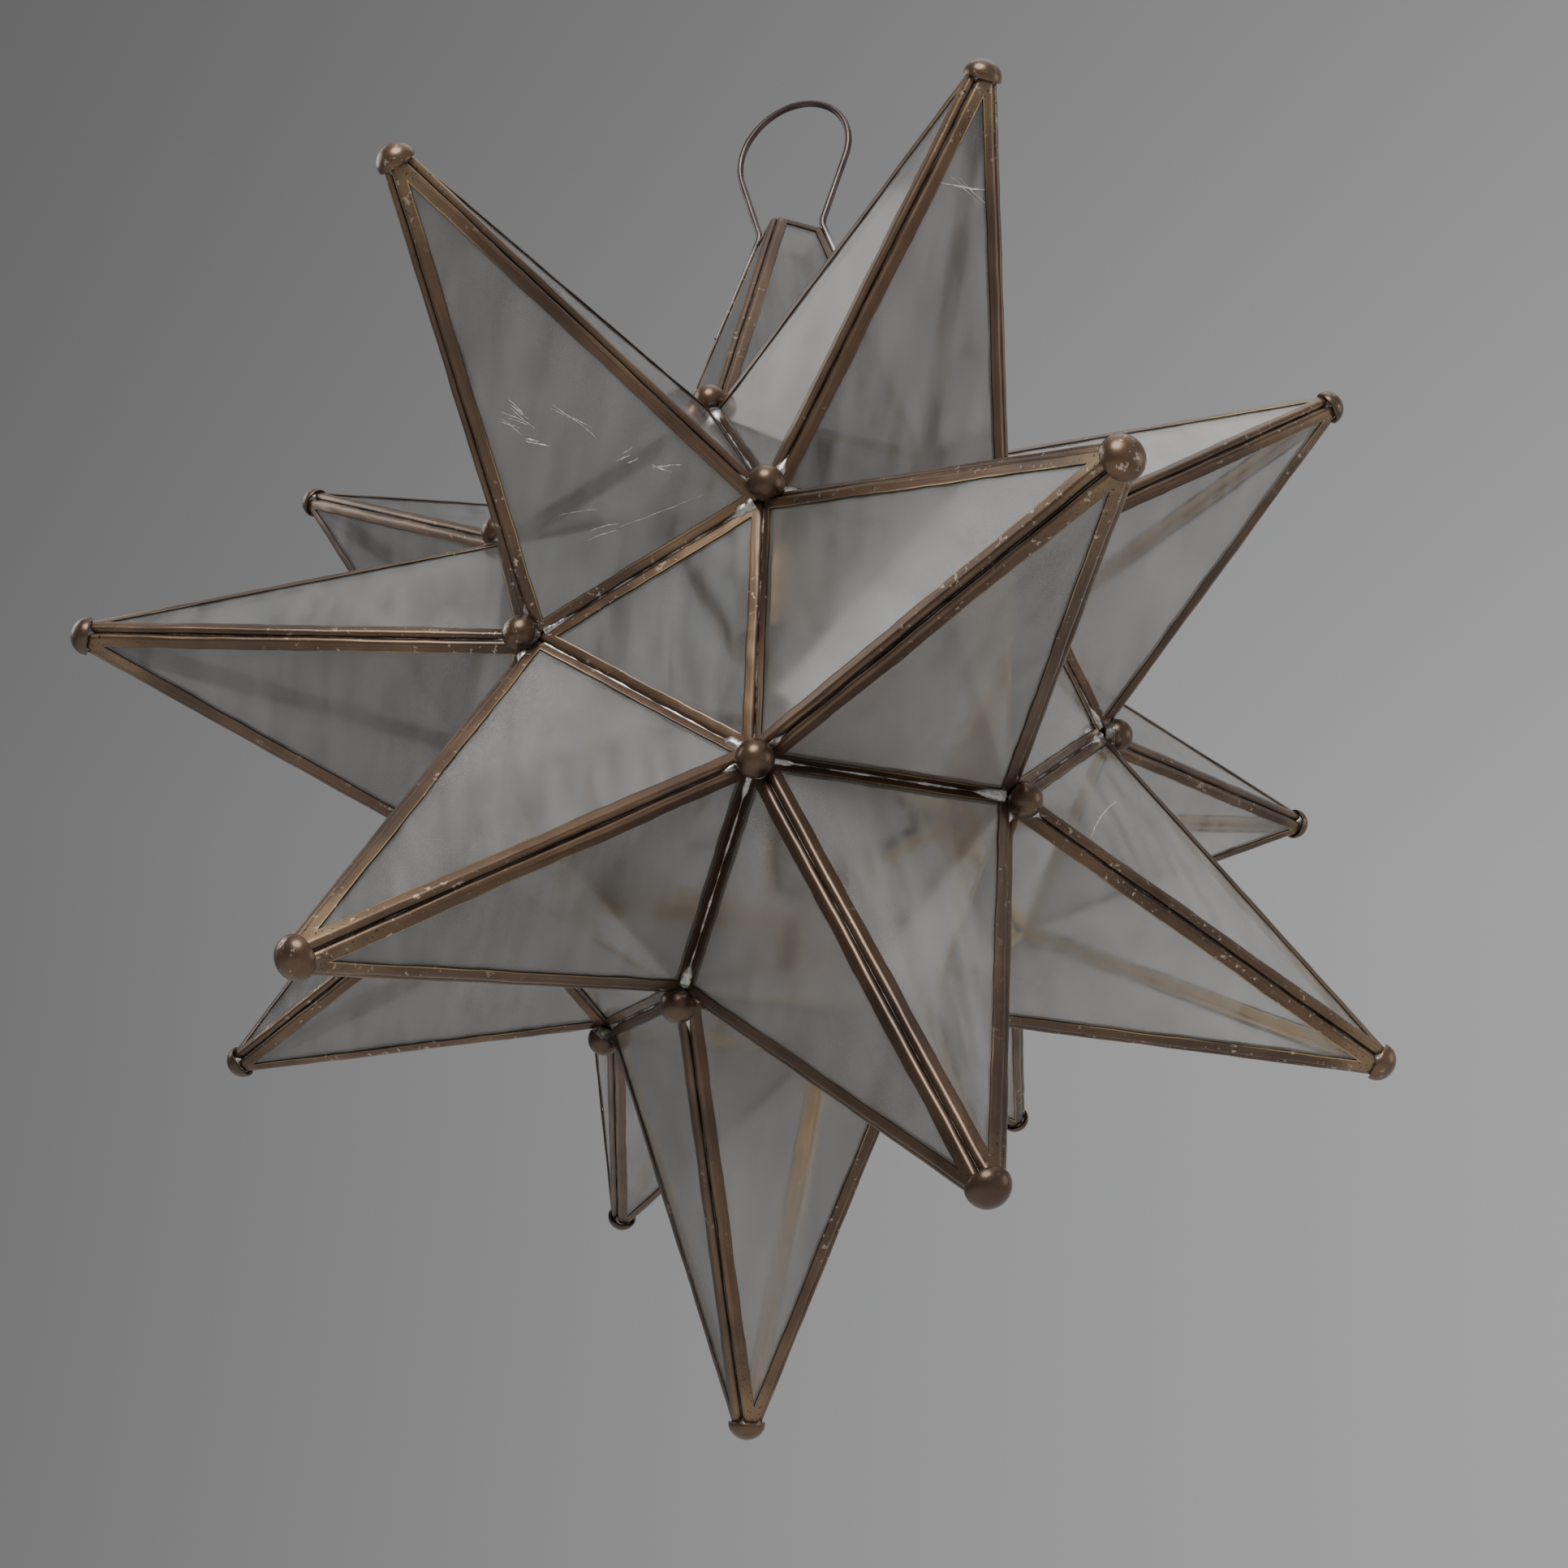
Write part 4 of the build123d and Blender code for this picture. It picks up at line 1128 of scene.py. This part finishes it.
def stroke_grid(group, seed, dice):
    """A scratch on its pane as a grid (row, column, 3), with its length run: a flat ellipse carried along a
    line that sags as a parabola and strays by waves, its width tapered with the root of a sine."""
    turn = circle(SCRATCH_SIDES)
    t = np.linspace(0, 1, SCRATCH_STEPS)
    taper = np.sqrt(np.clip(np.sin(np.pi * t), 0.01, 1))
    angle = np.radians(group.heading + dice.uniform(-group.spread, group.spread))
    way = np.array([np.cos(angle), np.sin(angle)])
    over = np.array([-np.sin(angle), np.cos(angle)])
    length = group.length * dice.uniform(*SCRATCH_LENGTHS)
    along = t * length
    sag = length * dice.uniform(-SCRATCH_SAG, SCRATCH_SAG) * 4 * t * (1 - t)
    sag = sag + waver(along, seed, SCRATCH_STRAY, SCRATCH_STRAY_WAVES)
    middle = group.middle + dice.uniform(-group.scatter, group.scatter, 2)
    line = middle + (along - length / 2)[:, None] * way + sag[:, None] * over
    uneven = 1 + waver(along, seed + 40, 0.5, SCRATCH_SWELL_WAVES)
    wide = group.width * dice.uniform(*SCRATCH_WIDTHS) * taper * uneven
    flat = line[:, None, :] + over * (wide[:, None] * np.cos(turn))[..., None]
    rise = SCRATCH_BASE + SCRATCH_RISE * taper[:, None] * np.sin(turn)
    return np.concatenate([flat, rise[..., None]], -1), along


class STAR_OT_scratches(bpy.types.Operator):
    """Scratches and bruises on three of the panes"""

    bl_idname = "star.scratches"
    bl_label = "Scratches"

    def execute(self, context):
        m = measures(context.scene.star_sizes)
        spikes = spike_table()
        groups = [(pane, group) for pane, some in SCRATCHES.items() for group in some]
        surface = Surface()
        for seed, ((spike, side), group) in enumerate(groups):
            dice = np.random.default_rng(SCRATCH_SEED + seed)
            place = pane_place(m, spikes[spike][0], SQUARE_SPIKES[side], m.spike.slope)
            for stroke in range(group.count):
                grid, along = stroke_grid(group, STROKE_SEED + 9 * seed + stroke, dice)
                v = circle(SCRATCH_SIDES) * SCRATCH_GIRTH
                surface.add_tube(carried(grid, place), along, v, zoned(grid))
        chalk = mottled("scratch_white", (800.0,), (0.4, 0.6), SCRATCH_GREY, SCRATCH_LIGHT, Roughness=0.7)
        piece = surface.build("pane_scratches", chalk)
        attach(piece, "star")
        return {"FINISHED"}


class STAR_OT_fittings(bpy.types.Operator):
    """Finishes on the panes, the door, its hinge and latch, and the lamp inside"""

    bl_idname = "star.fittings"
    bl_label = "Panes, door and lamp"

    def execute(self, context):
        c = context.scene.star_finish
        by_slot = {
            "aged_brass": patinated_brass(c, "door_brass", zoned=False),
            "frosted_glass": sandblasted_glass(c),
            "bail_wire": shared(dark_wire),
            "hinge_steel": plain_metal("dull_steel", (0.20, 0.19, 0.18), (0.42, 0.41, 0.39), 0.38),
            "lamp_fittings": plain_metal("turned_brass", (0.30, 0.21, 0.09), (0.52, 0.38, 0.18), 0.34),
            "lampholder_skin": plain_metal("spun_brass", (0.24, 0.16, 0.07), (0.48, 0.34, 0.15), 0.32),
            "lamp_contacts": plain_metal("tinned_metal", (0.45, 0.43, 0.38), (0.70, 0.67, 0.60), 0.30),
            "lamp_ceramic": unglazed_ceramic(),
            "bulb_glass": mottled(
                "clear_bulb", ((30.0, 30.0, 400.0), 2.0), (0.4, 0.7), (0.93, 0.94, 0.93), (0.98, 0.98, 0.97),
                Transmission_Weight=1.0, Roughness=0.04, IOR=1.1),
            "filament": mottled(
                "filament_stem", ((900.0, 900.0, 90.0), 2.0), (0.45, 0.6),
                (0.78, 0.76, 0.70), (0.75, 0.52, 0.20), Roughness=0.4),
        }
        # The neck's panes are darkened as painted shade over the neck.
        by_node = {"neck_glass": sandblasted_glass(c, "shaded_neck_glass", lit_share=NECK_LIT_SHARE)}
        slots = {p["node"]: p["material_slot"] for p in frame["record"]["subparts"]}
        for name, node in frame["nodes"].items():
            node.data.materials.clear()
            node.data.materials.append(by_node.get(name) or by_slot[slots[name]])
        return {"FINISHED"}


class StageLight(NamedTuple):
    """A round soft light: its place from the star's centre, width, power and colour, and whether it is seen
    directly and through glass, not only in reflections."""

    offset: tuple
    width: float
    power: float
    colour: tuple
    seen: bool = True


STAGE_LIGHTS = {
    "key_light": StageLight((-0.8, -1.25, 1.25), 1.2, 32.0, (1.0, 0.99, 0.97)),
    "fill_light": StageLight((1.7, -1.1, 0.2), 1.2, 4.0, (1.0, 0.98, 0.96)),
    "top_light": StageLight((0.3, 0.2, 1.9), 1.3, 1.5, (1.0, 0.99, 0.97)),
    "window_light": StageLight((-1.5, 0.9, 0.85), 1.2, 7.5, (1.0, 1.0, 1.0)),
    "back_light": StageLight((-0.92, 1.24, 1.28), 1.0, 2.4, (1.0, 0.96, 0.90), seen=False),
}
# The camera as fitted to the photograph: its right and up, its place from the star's centre, and its lens.
CAMERA_RIGHT = np.array([0.93157, -0.36210, 0.03255])
CAMERA_UP = np.array([-0.13654, -0.26548, 0.95440])
CAMERA_SPOT = np.array([-0.18023, -0.49122, -0.17746])
CAMERA_LENS = 36.56
CAMERA_SENSOR = 36.0
FLOOR_RADIUS = 3.0
FLOOR_LEVEL = -1.35
FLOOR_SIDES = 96
# Greys of the surroundings from straight below to straight above, and their strength from left to right.
SKY_GREYS = ((0.0, 0.18), (0.42, 0.33), (0.62, 0.32), (0.87, 0.21), (1.0, 0.32))
SKY_ACROSS = (-0.45, 0.45, 0.55, 1.3)


def placed(spot, x, y, z):
    """A matrix that puts an object at a spot, with its own axes along three ways."""
    return Matrix.Translation(spot) @ Matrix(np.stack([x, y, z], 1).tolist()).to_4x4()


def stage_floor(colour):
    """A round floor: one polygon whose corners lie on a circle."""
    f = Finish("stage_floor")
    f.link(f.mix(f.noise(3.0, 2.0), colour, shade(colour, 0.97)), "Base Color")
    f.set(Roughness=0.9)
    around = circle(FLOOR_SIDES)
    x, y = FLOOR_RADIUS * np.cos(around), FLOOR_RADIUS * np.sin(around)
    rim = np.stack([x, y, np.full(FLOOR_SIDES, FLOOR_LEVEL)], -1)
    mesh = bpy.data.meshes.new("stage_floor")
    mesh.from_pydata(rim.tolist(), [], [list(range(FLOOR_SIDES))])
    mesh.materials.append(f.material)
    return bpy.data.objects.new("stage_floor", mesh)


def stage_world():
    """Grey surroundings: a ramp over height, times a strength that grows from the camera's left to right."""
    world = bpy.data.worlds.new("stage_world")
    sky = Nodes(world, "Background")
    around = sky.coords["Generated"]
    height = sky.node("ShaderNodeSeparateXYZ", {"Vector": around}).outputs["Z"]
    greys = sky.node("ShaderNodeValToRGB", {"Fac": sky.ramp(height, -1.0, 1.0)})
    stops = greys.color_ramp.elements
    for at, grey in SKY_GREYS:
        stops.new(at).color = (grey, grey, grey * 1.01, 1.0)
    stops.remove(stops[0])
    stops.remove(stops[-1])
    sky.link(greys.outputs["Color"], "Color")
    sideways = sky.node("ShaderNodeVectorMath", {0: around, 1: CAMERA_RIGHT}, operation="DOT_PRODUCT")
    sky.link(sky.ramp(sideways.outputs["Value"], *SKY_ACROSS), "Strength")
    return world


def stage_light(name, kind):
    """A disc of light at its place, with its back turned away from the star."""
    lamp = bpy.data.lights.new(name, "AREA")
    lamp.shape, lamp.size, lamp.energy, lamp.color = "DISK", kind.width, kind.power, kind.colour
    light = bpy.data.objects.new(name, lamp)
    back = unit(kind.offset)
    across = unit(np.cross(STAR_UP, back))
    light.matrix_world = placed(STAR_CENTRE + np.array(kind.offset), across, np.cross(back, across), back)
    light.visible_camera = light.visible_transmission = kind.seen
    return light


class STAR_OT_stage(bpy.types.Operator):
    """Pale floor, soft light and the camera below the star"""

    bl_idname = "star.stage"
    bl_label = "Stage"

    def execute(self, context):
        scene = context.scene
        floor = stage_floor(scene.star_finish.floor)
        scene.collection.objects.link(floor)
        scene.world = stage_world()
        for name, kind in STAGE_LIGHTS.items():
            scene.collection.objects.link(stage_light(name, kind))
        lens = bpy.data.cameras.new("photo_camera")
        lens.lens, lens.sensor_width, lens.clip_start = CAMERA_LENS, CAMERA_SENSOR, 0.01
        camera = bpy.data.objects.new("photo_camera", lens)
        back = np.cross(CAMERA_RIGHT, CAMERA_UP)
        camera.matrix_world = placed(STAR_CENTRE + CAMERA_SPOT, CAMERA_RIGHT, CAMERA_UP, back)
        scene.collection.objects.link(camera)
        scene.camera = camera
        return {"FINISHED"}


class STAR_PT_panel(bpy.types.Panel):
    """Star pendant tools in the sidebar"""

    bl_idname = "STAR_PT_panel"
    bl_label = "Star pendant"
    bl_space_type = "VIEW_3D"
    bl_region_type = "UI"
    bl_category = "Star pendant"

    def draw(self, context):
        for group in (context.scene.star_sizes, context.scene.star_finish):
            box = self.layout.box()
            for key in type(group).__annotations__:
                box.prop(group, key)
        for operator in OPERATORS:
            self.layout.operator(operator.bl_idname)


OPERATORS = (
    STAR_OT_fittings, STAR_OT_channels, STAR_OT_solder, STAR_OT_domes, STAR_OT_bail, STAR_OT_scratches,
    STAR_OT_stage)
CLASSES = (StarSizes, StarFinish, *OPERATORS, STAR_PT_panel)


def register():
    for cls in CLASSES:
        bpy.utils.register_class(cls)
    bpy.types.Scene.star_sizes = PointerProperty(type=StarSizes)
    bpy.types.Scene.star_finish = PointerProperty(type=StarFinish)


def unregister():
    del bpy.types.Scene.star_finish
    del bpy.types.Scene.star_sizes
    for cls in reversed(CLASSES):
        bpy.utils.unregister_class(cls)


def main():
    register()
    bpy.ops.star.fittings()
    bpy.ops.star.channels()
    bpy.ops.star.solder()
    bpy.ops.star.domes()
    bpy.ops.star.bail()
    bpy.ops.star.scratches()
    bpy.ops.star.stage()


if __name__ == "__main__":
    main()
